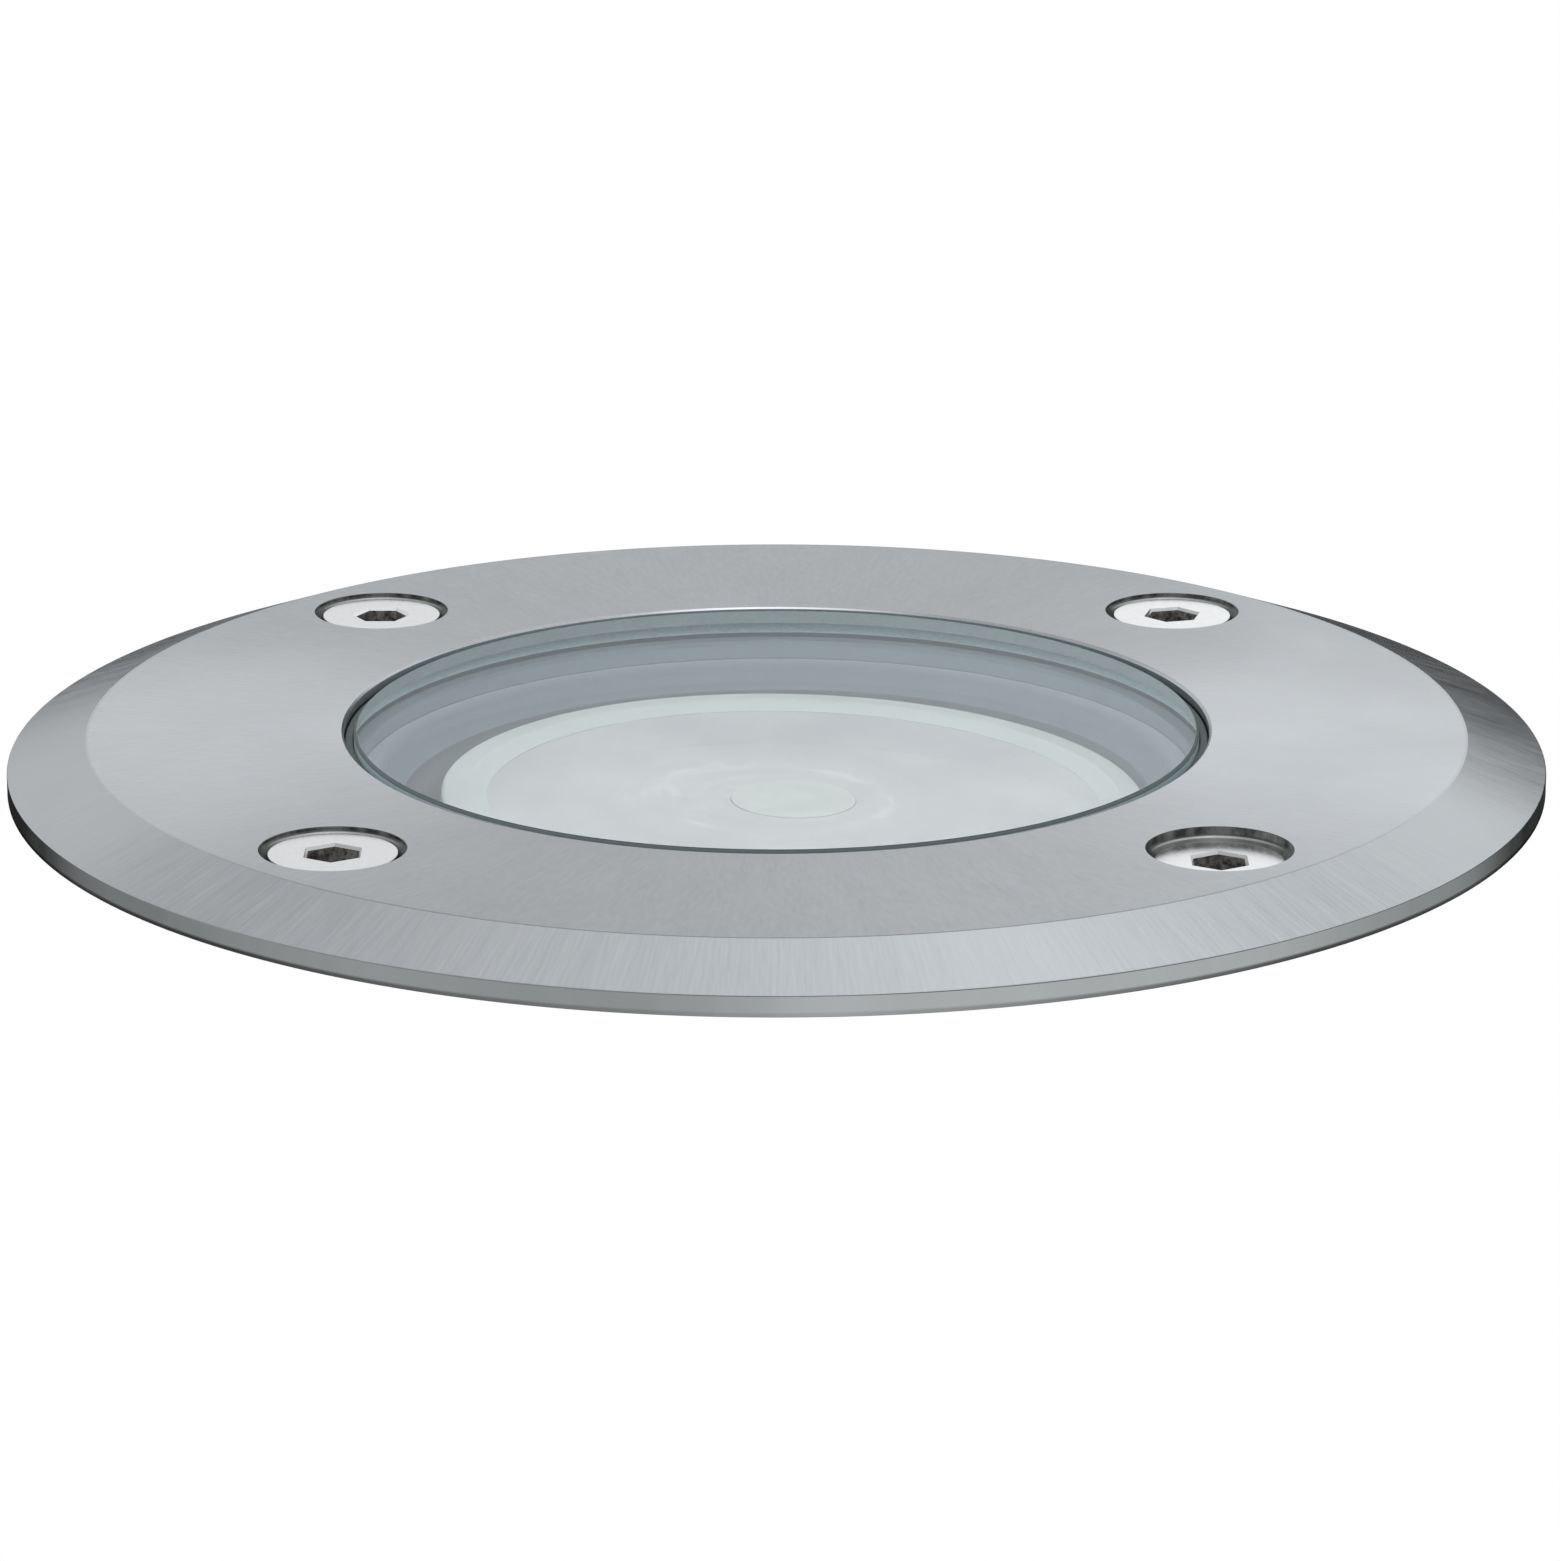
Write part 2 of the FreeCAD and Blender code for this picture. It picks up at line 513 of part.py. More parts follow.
def make_housing_can():
    """Cast can with ribs, a hole for the gland, and posts for the bracket and the earth tag."""
    outside = cylinder("can_outside", CAN_RADIUS, f"{CAN_TOP} - {CAN_BOTTOM}", at=("0", "0", CAN_BOTTOM))
    rib_bottom = f"{CAN_BOTTOM} + rib_end"
    rib_height = f"-collar_bottom - ({rib_bottom})"
    ribs = [
        bar(f"rib_pair_{i}", f"2 * ({CAN_RADIUS} + rib_rise)", "rib_width", rib_bottom, rib_height, 180 * i / RIB_PAIRS)
        for i in range(RIB_PAIRS)
    ]
    inside = cylinder("can_inside", CAN_BORE, f"{CAN_TOP} - {CAN_FLOOR} + cut_margin",
                      at=("0", "0", CAN_FLOOR))
    gland_hole = cylinder("gland_hole", "gland_radius + gland_fit", "can_floor_height + 2 * cut_margin",
                          at=("0", "0", f"{CAN_BOTTOM} - cut_margin"))
    shell = cut("can_shell", joined("can_solid", [outside, *ribs]), [inside, gland_hole])
    posts = [
        cylinder(f"post_{i}", "post_radius", f"{BRACKET_BOTTOM} - {CAN_FLOOR}",
                 at=(f"{end} * {POST_OFFSET}", "0", CAN_FLOOR))
        for i, end in enumerate(ENDS)
    ]
    small_hole = "small_screw_radius + small_screw_fit"
    holes = [
        cylinder(f"post_hole_{i}", small_hole, "small_screw_length", at=(
            f"{end} * {POST_OFFSET}", "0", f"{BRACKET_BOTTOM} + bracket_height - small_screw_length"))
        for i, end in enumerate(ENDS)
    ]
    posts.append(cylinder("earth_boss", "earth_boss_radius", "earth_boss_height",
                          at=(EARTH_ACROSS, f"-{EARTH_FORWARD}", CAN_FLOOR)))
    holes.append(cylinder("earth_hole", small_hole, "small_screw_length", at=(
        EARTH_ACROSS, f"-{EARTH_FORWARD}", f"{EARTH_BOSS_TOP} + earth_tag_height - small_screw_length")))
    subpart("housing_can", cut("can_with_posts", joined("can_and_posts", [shell, *posts]), holes))


def make_trim_ring():
    """Ring between the glass and the lamp, sloped towards the lamp face."""
    top = f"{GLASS_BOTTOM} - trim_top_gap"
    outer = f"{TRIM_BORE} - trim_gap"
    subpart("trim_ring", turned("trim", [
        (TRIM_INNER, "-trim_ledge_depth"),
        (outer, "-trim_ledge_depth"),
        (outer, top),
        (f"{outer} - trim_lip", top),
        (TRIM_INNER, f"{top} - trim_slope_height"),
    ]))


def in_lamp(across="0"):
    """Place a lamp piece that is drawn from the base plane, leaning as the lamp does."""
    return {"at": ("0", across, LAMP_BASE), "turn": "lamp_lean", "axis": ALONG_Y}


def make_lamp_face():
    """Rim, diffuser and the disc in its middle."""
    subpart("lamp_bezel", turned("bezel", [
        (f"{DIFFUSER_RADIUS} + diffuser_gap", CUP_TOP),
        (LAMP_RADIUS, CUP_TOP),
        (LAMP_RADIUS, "lamp_length - bezel_break"),
        (f"{LAMP_RADIUS} - bezel_break", "lamp_length"),
        (BEZEL_BORE, "lamp_length"),
        (BEZEL_BORE, DIFFUSER_TOP),
        (f"{DIFFUSER_RADIUS} + diffuser_gap", DIFFUSER_TOP),
    ], **in_lamp()))
    recess = f"{DIFFUSER_TOP} - spot_depth"
    subpart("lamp_diffuser", turned("diffuser", [
        ("0", CUP_TOP),
        (DIFFUSER_RADIUS, CUP_TOP),
        (DIFFUSER_RADIUS, DIFFUSER_TOP),
        ("spot_radius + spot_gap", DIFFUSER_TOP),
        ("spot_radius + spot_gap", recess),
        ("0", recess),
    ], **in_lamp()))
    subpart("lamp_centre_disc", turned("centre_disc", [
        ("0", recess),
        ("spot_radius", recess),
        ("spot_radius", f"{DIFFUSER_TOP} + spot_rise"),
        ("0", f"{DIFFUSER_TOP} + spot_rise"),
    ], **in_lamp()))


def make_lamp_cup():
    """Metal cup that cools the lamp, with a ledge for its light board."""
    neck_bore = "cup_neck_radius - cup_neck_wall"
    subpart("lamp_cup", turned("cup", [
        (neck_bore, "base_height"),
        ("cup_neck_radius", "base_height"),
        ("cup_waist_radius", "cup_waist"),
        (LAMP_RADIUS, "cup_shoulder"),
        (LAMP_RADIUS, CUP_TOP),
        (CUP_BORE, CUP_TOP),
        (CUP_BORE, "board_level"),
        (f"{CUP_BORE} - board_ledge", "board_level"),
        (neck_bore, "cup_waist"),
    ], **in_lamp()))


def make_lamp_inside():
    """Light board with its emitter, and the driver board in the neck."""
    board_top = "board_level + board_height"
    board_radius = f"{CUP_BORE} - board_gap"
    subpart("lamp_light_board", turned("light_board", [
        ("0", "board_level"), (board_radius, "board_level"), (board_radius, board_top), ("0", board_top),
    ], **in_lamp()))
    emitter_top = f"{board_top} + emitter_height"
    subpart("lamp_emitter", turned("emitter", [
        ("0", board_top), ("emitter_radius", board_top), ("emitter_radius", emitter_top), ("0", emitter_top),
    ], **in_lamp()))
    foot = "base_height + base_spigot"
    board = box("driver_board", ("driver_width", "board_height", "driver_height"), ("0", "0", foot))
    coil = cylinder("driver_coil", "driver_coil_radius", "driver_coil_height + board_height / 2",
                    at=("0", "0", f"{foot} + driver_height / 2"), held=Rotation(ALONG_X, -QUARTER))
    subpart("lamp_driver_board", joined("driver", [board, coil], **in_lamp()))


def make_lamp_base():
    """Base with the two pins that lock in the holder."""
    spigot = "cup_neck_radius - cup_neck_wall - spigot_gap"
    top = "base_height + base_spigot"
    blank = turned("base_blank", [
        ("0", "0"),
        ("base_radius - base_break", "0"),
        ("base_radius", "base_break"),
        ("base_radius", "base_height"),
        (spigot, "base_height"),
        (spigot, top),
        ("0", top),
    ])
    holes = [
        cylinder(f"pin_hole_{i}", "pin_radius", "pin_root + cut_margin",
                 at=("0", f"{end} * pin_offset", "-cut_margin"))
        for i, end in enumerate(ENDS)
    ]
    subpart("lamp_base", cut("base_with_holes", blank, holes, **in_lamp()))
    for i, end in enumerate(ENDS, 1):
        subpart(f"lamp_pin_{i}", turned(f"pin_{i}", [
            ("0", "-pin_length"),
            ("pin_foot_radius", "-pin_length"),
            ("pin_foot_radius", "pin_foot_height - pin_length"),
            ("pin_radius", "pin_foot_height - pin_length"),
            ("pin_radius", "pin_root"),
            ("0", "pin_root"),
        ], **in_lamp(f"{end} * pin_offset")))


def slot_cutters(name, width, top, depth, first):
    """Cut a slot that a round pin of this radius sweeps as the lamp turns from rest."""
    sweep = cut(f"{name}_sweep",
                cylinder(f"{name}_outer", f"pin_offset + {width}", depth, held=Rotation(UP, first)),
                [cylinder(f"{name}_inner", f"pin_offset - ({width})", depth)],
                at=("0", "0", f"{top} - ({depth})"))
    sweep.Base.setExpression("Angle", linked("slot_turn"))
    locked = cylinder(f"{name}_locked", width, depth, at=(
        f"{math.cos(math.radians(first)):.9f} * pin_offset", f"{math.sin(math.radians(first)):.9f} * pin_offset",
        f"{top} - ({depth})"))
    return [sweep, locked]


def make_holder():
    """Ceramic holder with two curved slots, and the contacts at their bottom."""
    blank = turned("holder_blank", [
        ("0", BRACKET_BOTTOM),
        ("holder_stud_radius", BRACKET_BOTTOM),
        ("holder_stud_radius", HOLDER_BOTTOM),
        ("holder_radius", HOLDER_BOTTOM),
        ("holder_radius", f"{HOLDER_TOP} - holder_break"),
        ("holder_radius - holder_break", HOLDER_TOP),
        ("0", HOLDER_TOP),
    ])
    cutters = []
    for i, first in enumerate((-QUARTER, QUARTER), 1):
        plate_depth = "slot_plate + cut_margin"
        top = f"{HOLDER_TOP} + cut_margin"
        cutters += slot_cutters(f"slot_{i}", "pin_radius + slot_gap", top, plate_depth, first)
        foot = "pin_foot_radius + slot_gap"
        cutters += slot_cutters(f"chamber_{i}", foot, f"{HOLDER_TOP} - slot_plate",
                                "slot_depth - slot_plate", first)
        side = (first + QUARTER) // QUARTER - 1
        entry = (f"{-side} * pin_offset * sin(slot_turn * 1deg)", f"{side} * pin_offset * cos(slot_turn * 1deg)",
                 f"{HOLDER_TOP} - slot_depth")
        cutters.append(cylinder(f"entry_{i}", foot, "slot_depth + cut_margin", at=entry))
    for pole in ("live", "neutral"):
        cutters.append(cylinder(
            f"{pole}_holder_entry", "lead_radius + lead_fit", "holder_lead_reach + holder_radius",
            at=(f"{POLES[pole]} * pole_pitch", "holder_lead_reach - holder_radius", LEAD_LEVEL),
            held=Rotation(ALONG_X, QUARTER)))
    subpart("lamp_holder", cut("holder_slots", blank, cutters))
    for i, end in enumerate(ENDS, 1):
        at = ("0", f"{end} * pin_offset", f"{HOLDER_TOP} - slot_depth")
        subpart(f"holder_contact_{i}", cylinder(f"contact_{i}", "contact_radius", "contact_height", at=at))


def small_screw(name, place):
    """Cheese head screw with a slot; its own Z starts under its head."""
    blank = turned(f"{name}_blank", [
        ("0", "-small_screw_length"),
        ("small_screw_radius", "-small_screw_length"),
        ("small_screw_radius", "0"),
        ("small_head_radius", "0"),
        ("small_head_radius", "small_head_height"),
        ("0", "small_head_height"),
    ])
    slot = box(f"{name}_slot", ("2 * small_head_radius + cut_margin", "drive_slot_width",
                                "drive_slot_depth + cut_margin"),
               ("0", "0", "small_head_height - drive_slot_depth"))
    return cut(name, blank, [slot], at=place)


def make_bracket():
    """Strip that carries the holder on the two posts, and its screws."""
    size = (f"2 * ({CAN_BORE} - bracket_end_gap)", "bracket_width", "bracket_height")
    strip = box("bracket_strip", size, ("0", "0", BRACKET_BOTTOM))
    through = "bracket_height + 2 * cut_margin"
    below = f"{BRACKET_BOTTOM} - cut_margin"
    holes = [cylinder("stud_hole", "holder_stud_radius + bracket_gap", through, at=("0", "0", below))]
    for i, end in enumerate(ENDS, 1):
        at = (f"{end} * {POST_OFFSET}", "0", below)
        holes.append(cylinder(f"bracket_hole_{i}", "small_screw_radius + small_screw_fit", through, at=at))
        screw = small_screw(f"bracket_screw_blank_{i}", (f"{end} * {POST_OFFSET}", "0", HOLDER_BOTTOM))
        subpart(f"bracket_screw_{i}", screw)
    subpart("holder_bracket", cut("bracket_holes", strip, holes))


def make_terminal_block():
    """Push-in block on the can floor, with a contact for each of its three poles."""
    place = ("0", f"-{BLOCK_OFFSET}", CAN_FLOOR)
    body = box("block_body", ("block_length", "block_width", "block_height"), place)
    cutters = []
    pole_bottom = f"{CAN_FLOOR} + supply_hole_height - pole_height / 2"
    for pole, step in POLES.items():
        across = f"{step} * pole_pitch"
        grip = "lead_grip + cut_margin"
        cutters.append(cylinder(f"{pole}_entry", "lead_radius + lead_fit", grip,
                                at=(across, f"-{BLOCK_OFFSET}", f"{BLOCK_TOP} - lead_grip")))
        cutters.append(cylinder(f"{pole}_supply", "supply_hole_radius", "block_width / 2 + cut_margin",
                                at=(across, f"-{BLOCK_OFFSET}", f"{CAN_FLOOR} + supply_hole_height"),
                                held=Rotation(ALONG_X, -QUARTER)))
        room = ("pole_width + 2 * pole_gap",) * 2 + (f"{BLOCK_TOP} - lead_grip - ({pole_bottom})",)
        cutters.append(box(f"{pole}_room", room, (across, f"-{BLOCK_OFFSET}", pole_bottom)))
        contact = box(f"{pole}_contact", ("pole_width", "pole_width", "pole_height"),
                      (across, f"-{BLOCK_OFFSET}", pole_bottom))
        subpart(f"terminal_contact_{pole}", contact)
    subpart("terminal_block", cut("block_entries", body, cutters))


def lead(name, span, fall, **place):
    """Lead that rises from the block, bends level, and may bend down again at its far end."""
    start = "lead_grip + lead_rise"
    pieces = [
        cylinder(f"{name}_rise", "lead_radius", start, at=("0", "0", "-lead_grip")),
        quarter_bend(f"{name}_bend", "lead_bend", "lead_radius", at=("lead_bend", "0", "lead_rise"),
                     held=Rotation(-ALONG_Y, QUARTER) * Rotation(ALONG_X, QUARTER)),
        cylinder(f"{name}_span", "lead_radius", span, at=("lead_bend", "0", "lead_rise + lead_bend"),
                 held=Rotation(ALONG_Y, QUARTER)),
    ]
    if fall:
        far = f"lead_bend + {span}"
        pieces.append(quarter_bend(f"{name}_far_bend", "lead_bend", "lead_radius", at=(far, "0", "lead_rise"),
                                   held=Rotation(ALONG_X, QUARTER)))
        pieces.append(cylinder(f"{name}_fall", "lead_radius", fall,
                               at=(f"{far} + lead_bend", "0", f"lead_rise - ({fall})")))
    return joined(name, pieces, **place)


def make_leads():
    """Two leads from the block to the holder, and one to the earth screw."""
    to_holder = f"{BLOCK_OFFSET} - holder_radius + holder_lead_reach - lead_bend"
    for pole in ("live", "neutral"):
        at = (f"{POLES[pole]} * pole_pitch", f"-{BLOCK_OFFSET}", BLOCK_TOP)
        subpart(f"{pole}_lead", lead(f"{pole}_wire", to_holder, None, at=at, turn="90"))
    across = f"({EARTH_ACROSS} - {POLES['earth']} * pole_pitch)"
    back = f"({BLOCK_OFFSET} - {EARTH_FORWARD})"
    reach = f"sqrt({across} ^ 2 + {back} ^ 2)"
    span = f"{reach} - 2 * lead_bend - earth_lead_short"
    fall = "lead_rise + block_height - earth_boss_height - earth_tag_height"
    at = (f"{POLES['earth']} * pole_pitch", f"-{BLOCK_OFFSET}", BLOCK_TOP)
    wire = lead("earth_wire", span, fall, at=at, turn=f"atan({back} / {across})")
    subpart("earth_lead", wire)


def make_earth_point():
    tag = flat_ring("tag", "small_screw_radius + small_screw_fit", "earth_tag_radius", "0", "earth_tag_height",
                    at=(EARTH_ACROSS, f"-{EARTH_FORWARD}", EARTH_BOSS_TOP))
    subpart("earth_tag", tag)
    place = (EARTH_ACROSS, f"-{EARTH_FORWARD}", f"{EARTH_BOSS_TOP} + earth_tag_height")
    subpart("earth_screw", small_screw("earth_screw_cut", place))


def make_gland():
    """Gland body, washer, locknut, rubber seal and cap under the can."""
    body = turned("gland_tube", [
        ("gland_bore_radius", GLAND_THREAD_TOP),
        ("gland_radius", GLAND_THREAD_TOP),
        ("gland_radius", BARREL_BOTTOM),
        ("seal_radius + gland_fit", BARREL_BOTTOM),
        ("seal_radius + gland_fit", HEX_BOTTOM),
        ("gland_bore_radius", HEX_BOTTOM),
    ])
    hex_blank = hexagon("gland_hex_blank", "gland_flats", "gland_hex_height", at=("0", "0", HEX_BOTTOM))
    bore = cylinder("gland_hex_bore", "gland_bore_radius", "gland_hex_height + 2 * cut_margin",
                    at=("0", "0", f"{HEX_BOTTOM} - cut_margin"))
    subpart("gland_body", joined("gland_body_solid", [body, cut("gland_hex", hex_blank, [bore])]))
    subpart("gland_washer", flat_ring("gland_washer_ring", "gland_radius + gland_fit", "gland_washer_radius",
                                      HEX_TOP, CAN_BOTTOM))
    nut = hexagon("locknut_blank", "locknut_flats", "locknut_height", at=("0", "0", CAN_FLOOR))
    nut_bore = cylinder("locknut_bore", "gland_radius + gland_fit", "locknut_height + 2 * cut_margin",
                        at=("0", "0", f"{CAN_FLOOR} - cut_margin"))
    subpart("gland_locknut", cut("locknut", nut, [nut_bore]))
    seal_top = f"{HEX_BOTTOM} - seal_gap"
    subpart("gland_seal", flat_ring("seal", "seal_bore_radius", "seal_radius", f"{seal_top} - seal_length", seal_top))
    make_gland_cap()


def make_gland_cap():
    """Hexagon cap with a domed end, which presses the seal round the cable."""
    cap_hex = hexagon("cap_hex", "gland_flats", "cap_hex_height", at=("0", "0", f"{CAP_TOP} - cap_hex_height"))
    flats_radius = "gland_flats / 2"
    dome = turned("cap_dome", [
        ("0", CAP_BOTTOM),
        ("cap_end_radius", CAP_BOTTOM),
        (flats_radius, f"{CAP_TOP} - cap_hex_height"),
        (flats_radius, CAP_TOP),
        ("0", CAP_TOP),
    ])
    inner_end = f"{CAP_BOTTOM} + cap_wall"
    hollow = turned("cap_hollow", [
        ("0", f"{CAP_BOTTOM} - cut_margin"),
        ("gland_bore_radius", f"{CAP_BOTTOM} - cut_margin"),
        ("gland_bore_radius", inner_end),
        ("seal_radius + gland_fit", inner_end),
        ("gland_radius + gland_fit", f"{BARREL_BOTTOM} - cap_clear"),
        ("gland_radius + gland_fit", f"{CAP_TOP} + cut_margin"),
        ("0", f"{CAP_TOP} + cut_margin"),
    ])
    subpart("gland_cap", cut("cap", joined("cap_solid", [cap_hex, dome]), [hollow]))


def make_sleeve():
    """Plastic tube set in the ground, with a lip and four arched windows for cable and water."""
    tube = turned("sleeve_tube", [
        (SLEEVE_LIP, "-sleeve_depth"),
        (SLEEVE_RADIUS, "-sleeve_depth"),
        (SLEEVE_RADIUS, "0"),
        (SLEEVE_BORE, "0"),
        (SLEEVE_BORE, "sleeve_lip_height - sleeve_depth"),
        (SLEEVE_LIP, "sleeve_lip_height - sleeve_depth"),
    ])
    length = f"2 * ({SLEEVE_RADIUS} + cut_margin)"
    arch_start = "window_height - window_width / 2"
    sill = "window_sill - sleeve_depth"
    cutters = []
    for i, (axis, sign) in enumerate(((ALONG_Y, 1), (ALONG_X, -1))):
        cutters.append(bar(f"window_{i}", length, "window_width", sill, arch_start, QUARTER * i))
        start = [f"-({length}) / 2", "0"] if i == 0 else ["0", f"-({length}) / 2"]
        cutters.append(cylinder(f"arch_{i}", "window_width / 2", length, at=(*start, f"{sill} + {arch_start}"),
                                held=Rotation(axis, sign * QUARTER)))
    subpart("mounting_sleeve", cut("sleeve_windows", tube, cutters))


def make_all():
    make_sleeve()
    make_housing_flange()
    make_housing_can()
    make_cover_ring()
    for corner, (across, forward, socket_turn, drop) in COVER_SCREWS.items():
        make_cover_screw(corner, across, forward, socket_turn, drop)
        make_screw_fittings(corner, across, forward)
    make_glass()
    make_gaskets()
    make_trim_ring()
    make_lamp_face()
    make_lamp_cup()
    make_lamp_inside()
    make_lamp_base()
    make_holder()
    make_bracket()
    make_terminal_block()
    make_leads()
    make_earth_point()
    make_gland()


def check_all():
    """Stop on any failed object, or any sub-part that isn't one valid solid."""
    failed = [item.Name for item in DOC.Objects if {"Invalid", "Error"} & set(item.State)]
    if failed:
        raise SystemExit(f"objects that failed: {failed}")
    for item in SUBPARTS:
        shape = item.Shape
        if shape.isNull() or not shape.isValid() or len(shape.Solids) != 1:
            raise SystemExit(f"{item.Label} isn't one valid solid")


def write_all():
    os.makedirs("parts", exist_ok=True)
    for item in SUBPARTS:
        item.Shape.exportStep(f"parts/{item.Label}.step")
        print(f"{item.Label}: {item.Shape.Volume:.1f} mm3")


write_sizes()
make_all()
DOC.recompute()
check_all()
write_all()
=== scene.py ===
import math

import bmesh
import bpy
from mathutils import Matrix, Vector


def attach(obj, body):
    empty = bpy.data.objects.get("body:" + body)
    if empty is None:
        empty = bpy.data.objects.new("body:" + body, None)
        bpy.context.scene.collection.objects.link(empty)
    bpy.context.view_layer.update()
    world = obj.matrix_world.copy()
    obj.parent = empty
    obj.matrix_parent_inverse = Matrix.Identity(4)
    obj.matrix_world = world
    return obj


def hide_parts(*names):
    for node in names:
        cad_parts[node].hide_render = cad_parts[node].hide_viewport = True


# Looks of the in-ground well light. Metres, +Z up, z = 0 at ground level, the front is -Y.

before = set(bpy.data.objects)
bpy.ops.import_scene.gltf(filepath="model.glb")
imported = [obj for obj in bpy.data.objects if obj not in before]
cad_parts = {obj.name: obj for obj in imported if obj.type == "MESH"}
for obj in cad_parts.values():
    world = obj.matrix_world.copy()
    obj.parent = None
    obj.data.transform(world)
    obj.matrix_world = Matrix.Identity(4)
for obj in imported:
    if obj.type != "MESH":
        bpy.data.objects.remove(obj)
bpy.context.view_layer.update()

MM = 0.001

# Cover ring
RIM_RADIUS = 55 * MM
RIM_HEIGHT = 1.5 * MM
BEVEL_TOP_RADIUS = 49.4 * MM
COVER_HEIGHT = 3.55 * MM
OPENING_RADIUS = 31 * MM
OPENING_BREAK = 0.18 * MM
EDGE_ROUND = 0.12 * MM
# Cover screws and their countersinks
SCREW_OFFSET = 30 * MM
SINK_RADIUS = 5 * MM
SINK_LAND = 0.2 * MM
SINK_EDGE = 0.05 * MM
SCREW_HOLE_RADIUS = 2.8 * MM
HEAD_RADIUS = 4.42 * MM
HEAD_LAND = 0.12 * MM
HEAD_RECESS = 0.3 * MM
HEAD_ROUND = 0.07 * MM
DEEP_DROP = 0.55 * MM
DEEP_SEAT = 0.55
SCREW_RADIUS = 2.5 * MM
SCREW_LENGTH = 16 * MM
CORE_LENGTH = 1 * MM
THREAD_PITCH = 0.8 * MM
THREAD_DEPTH = 0.43 * MM
THREAD_DROP = 0.5 * MM
THREAD_START = 0.2
SOCKET_FLATS = 3.5 * MM
SOCKET_DEPTH = 1.7 * MM
SOCKET_EDGE = 0.2 * MM
DRILL_SHARE = 0.9
DRILL_DEPTH = 0.8 * MM
DRILL_OVERLAP = 0.05 * MM
# Glass, gaskets and trim ring
GLASS_RADIUS = 30.3 * MM
GLASS_TOP = 3.5 * MM
GLASS_THICKNESS = 8 * MM
GLASS_BOTTOM = GLASS_TOP - GLASS_THICKNESS
GLASS_CHAMFER = 0.2 * MM
GLASS_ROUND = 0.08 * MM
SHOULDER_RADIUS = 34.5 * MM
SHOULDER_TOP = -0.8 * MM
SHOULDER_BREAK = 0.5 * MM
GASKET_INNER = 31.3 * MM
GASKET_OUTER = 34.3 * MM
LOWER_GASKET = 1.5 * MM
LOWER_GASKET_ROUND = 0.3 * MM
SEAL_GAP = 0.02 * MM
LIP_INNER = 30.35 * MM
LIP_OUTER = 30.92 * MM
LIP_TOP = 2.8 * MM
LIP_ROUND = 0.12 * MM
TRIM_OUTER = 30.8 * MM
TRIM_LIP = 1.2 * MM
TRIM_INNER = 27 * MM
TRIM_TOP_GAP = 0.3 * MM
TRIM_SLOPE = 3.1 * MM
TRIM_BOTTOM = -12.4 * MM
TRIM_ROUND = 0.15 * MM
# Lamp
LAMP_BASE = -57.65 * MM
LAMP_LENGTH = 50 * MM
LAMP_LEAN = math.radians(1.4)
LAMP_RADIUS = 25.35 * MM
BEZEL_WIDTH = 3.3 * MM
BEZEL_HEIGHT = 2.2 * MM
BEZEL_LIP = 0.5 * MM
BEZEL_SLOPE = 1.6 * MM
BEZEL_EDGE = 0.06 * MM
BEZEL_ROUND = 0.35 * MM
DIFFUSER_HOLD = 1.2 * MM
DIFFUSER_GAP = 0.03 * MM
DIFFUSER_ROUND = 0.12 * MM
SPOT_RADIUS = 4.5 * MM
SPOT_GAP = 0.02 * MM
SPOT_DEPTH = 1 * MM
SPOT_RISE = 0.05 * MM
SPOT_ROUND = 0.05 * MM
# Floor
FLOOR_DROP = 0.03 * MM
FLOOR_HOLE = 51.3 * MM
FLOOR_SIZE = 1.5
# Camera, from the outlines of the ring in the photograph
CAMERA_DISTANCE = 499.4 * MM
CAMERA_ELEVATION = math.radians(16.95)
CAMERA_AIM = Vector((0.25 * MM, 0, COVER_HEIGHT - 4.34 * MM))
CAMERA_CLIP = 0.01
FOCAL_PIXELS = 6941.9
FRAME_PIXELS = 1561
SENSOR = 36
# Area light, which is aimed at the middle of the ring
LIGHT_PLACE = Vector((0.1, -0.2, 0.9))
LIGHT_SIZE = 0.6
LIGHT_POWER = 4

# Each cover screw: its side of the centre lines, the turn of its socket in degrees, its extra depth
COVER_SCREWS = {
    "front_left": (-1, -1, 30, 0),
    "front_right": (1, -1, 30, DEEP_DROP),
    "back_left": (-1, 1, 0, 0),
    "back_right": (1, 1, 15, 0),
}

# Meshes: points round a circle, points of a rounding, and rows of points for each turn of a thread
ROUND_STEPS = 256
SMALL_ROUND_STEPS = 96
ROD_STEPS = 48
ROUNDING_STEPS = 4
THREAD_ROWS = 8
# The most of an edge that a rounding takes, and how far its guard points stand beyond it
ROUNDING_SHARE = 0.45
GUARD = 1.1
# Below this radius a point lies on the axis
ON_AXIS = 1e-9
# How far a cutting mesh reaches past the surface that it cuts
CUT_OVER = 1 * MM
# Edges that turn by more than this are shaded sharp
SHARP_ANGLE = math.radians(24)
RING_SHARP_ANGLE = math.radians(30)
SCREW_SHARP_ANGLE = math.radians(35)


# ---------------------------------------------------------------- meshes

def new_object(name, content):
    item = bpy.data.objects.new(name, content)
    bpy.context.scene.collection.objects.link(item)
    return item


def object_from(name, data):
    """Turn mesh data into an object, and free it."""
    mesh = bpy.data.meshes.new(name)
    data.to_mesh(mesh)
    data.free()
    return new_object(name, mesh)


def add_ring(data, radius, height, steps):
    """Add a level ring of points about the Z axis to mesh data."""
    ring = []
    for k in range(steps):
        turn = math.tau * k / steps
        ring.append(data.verts.new((radius * math.cos(turn), radius * math.sin(turn), height)))
    return ring


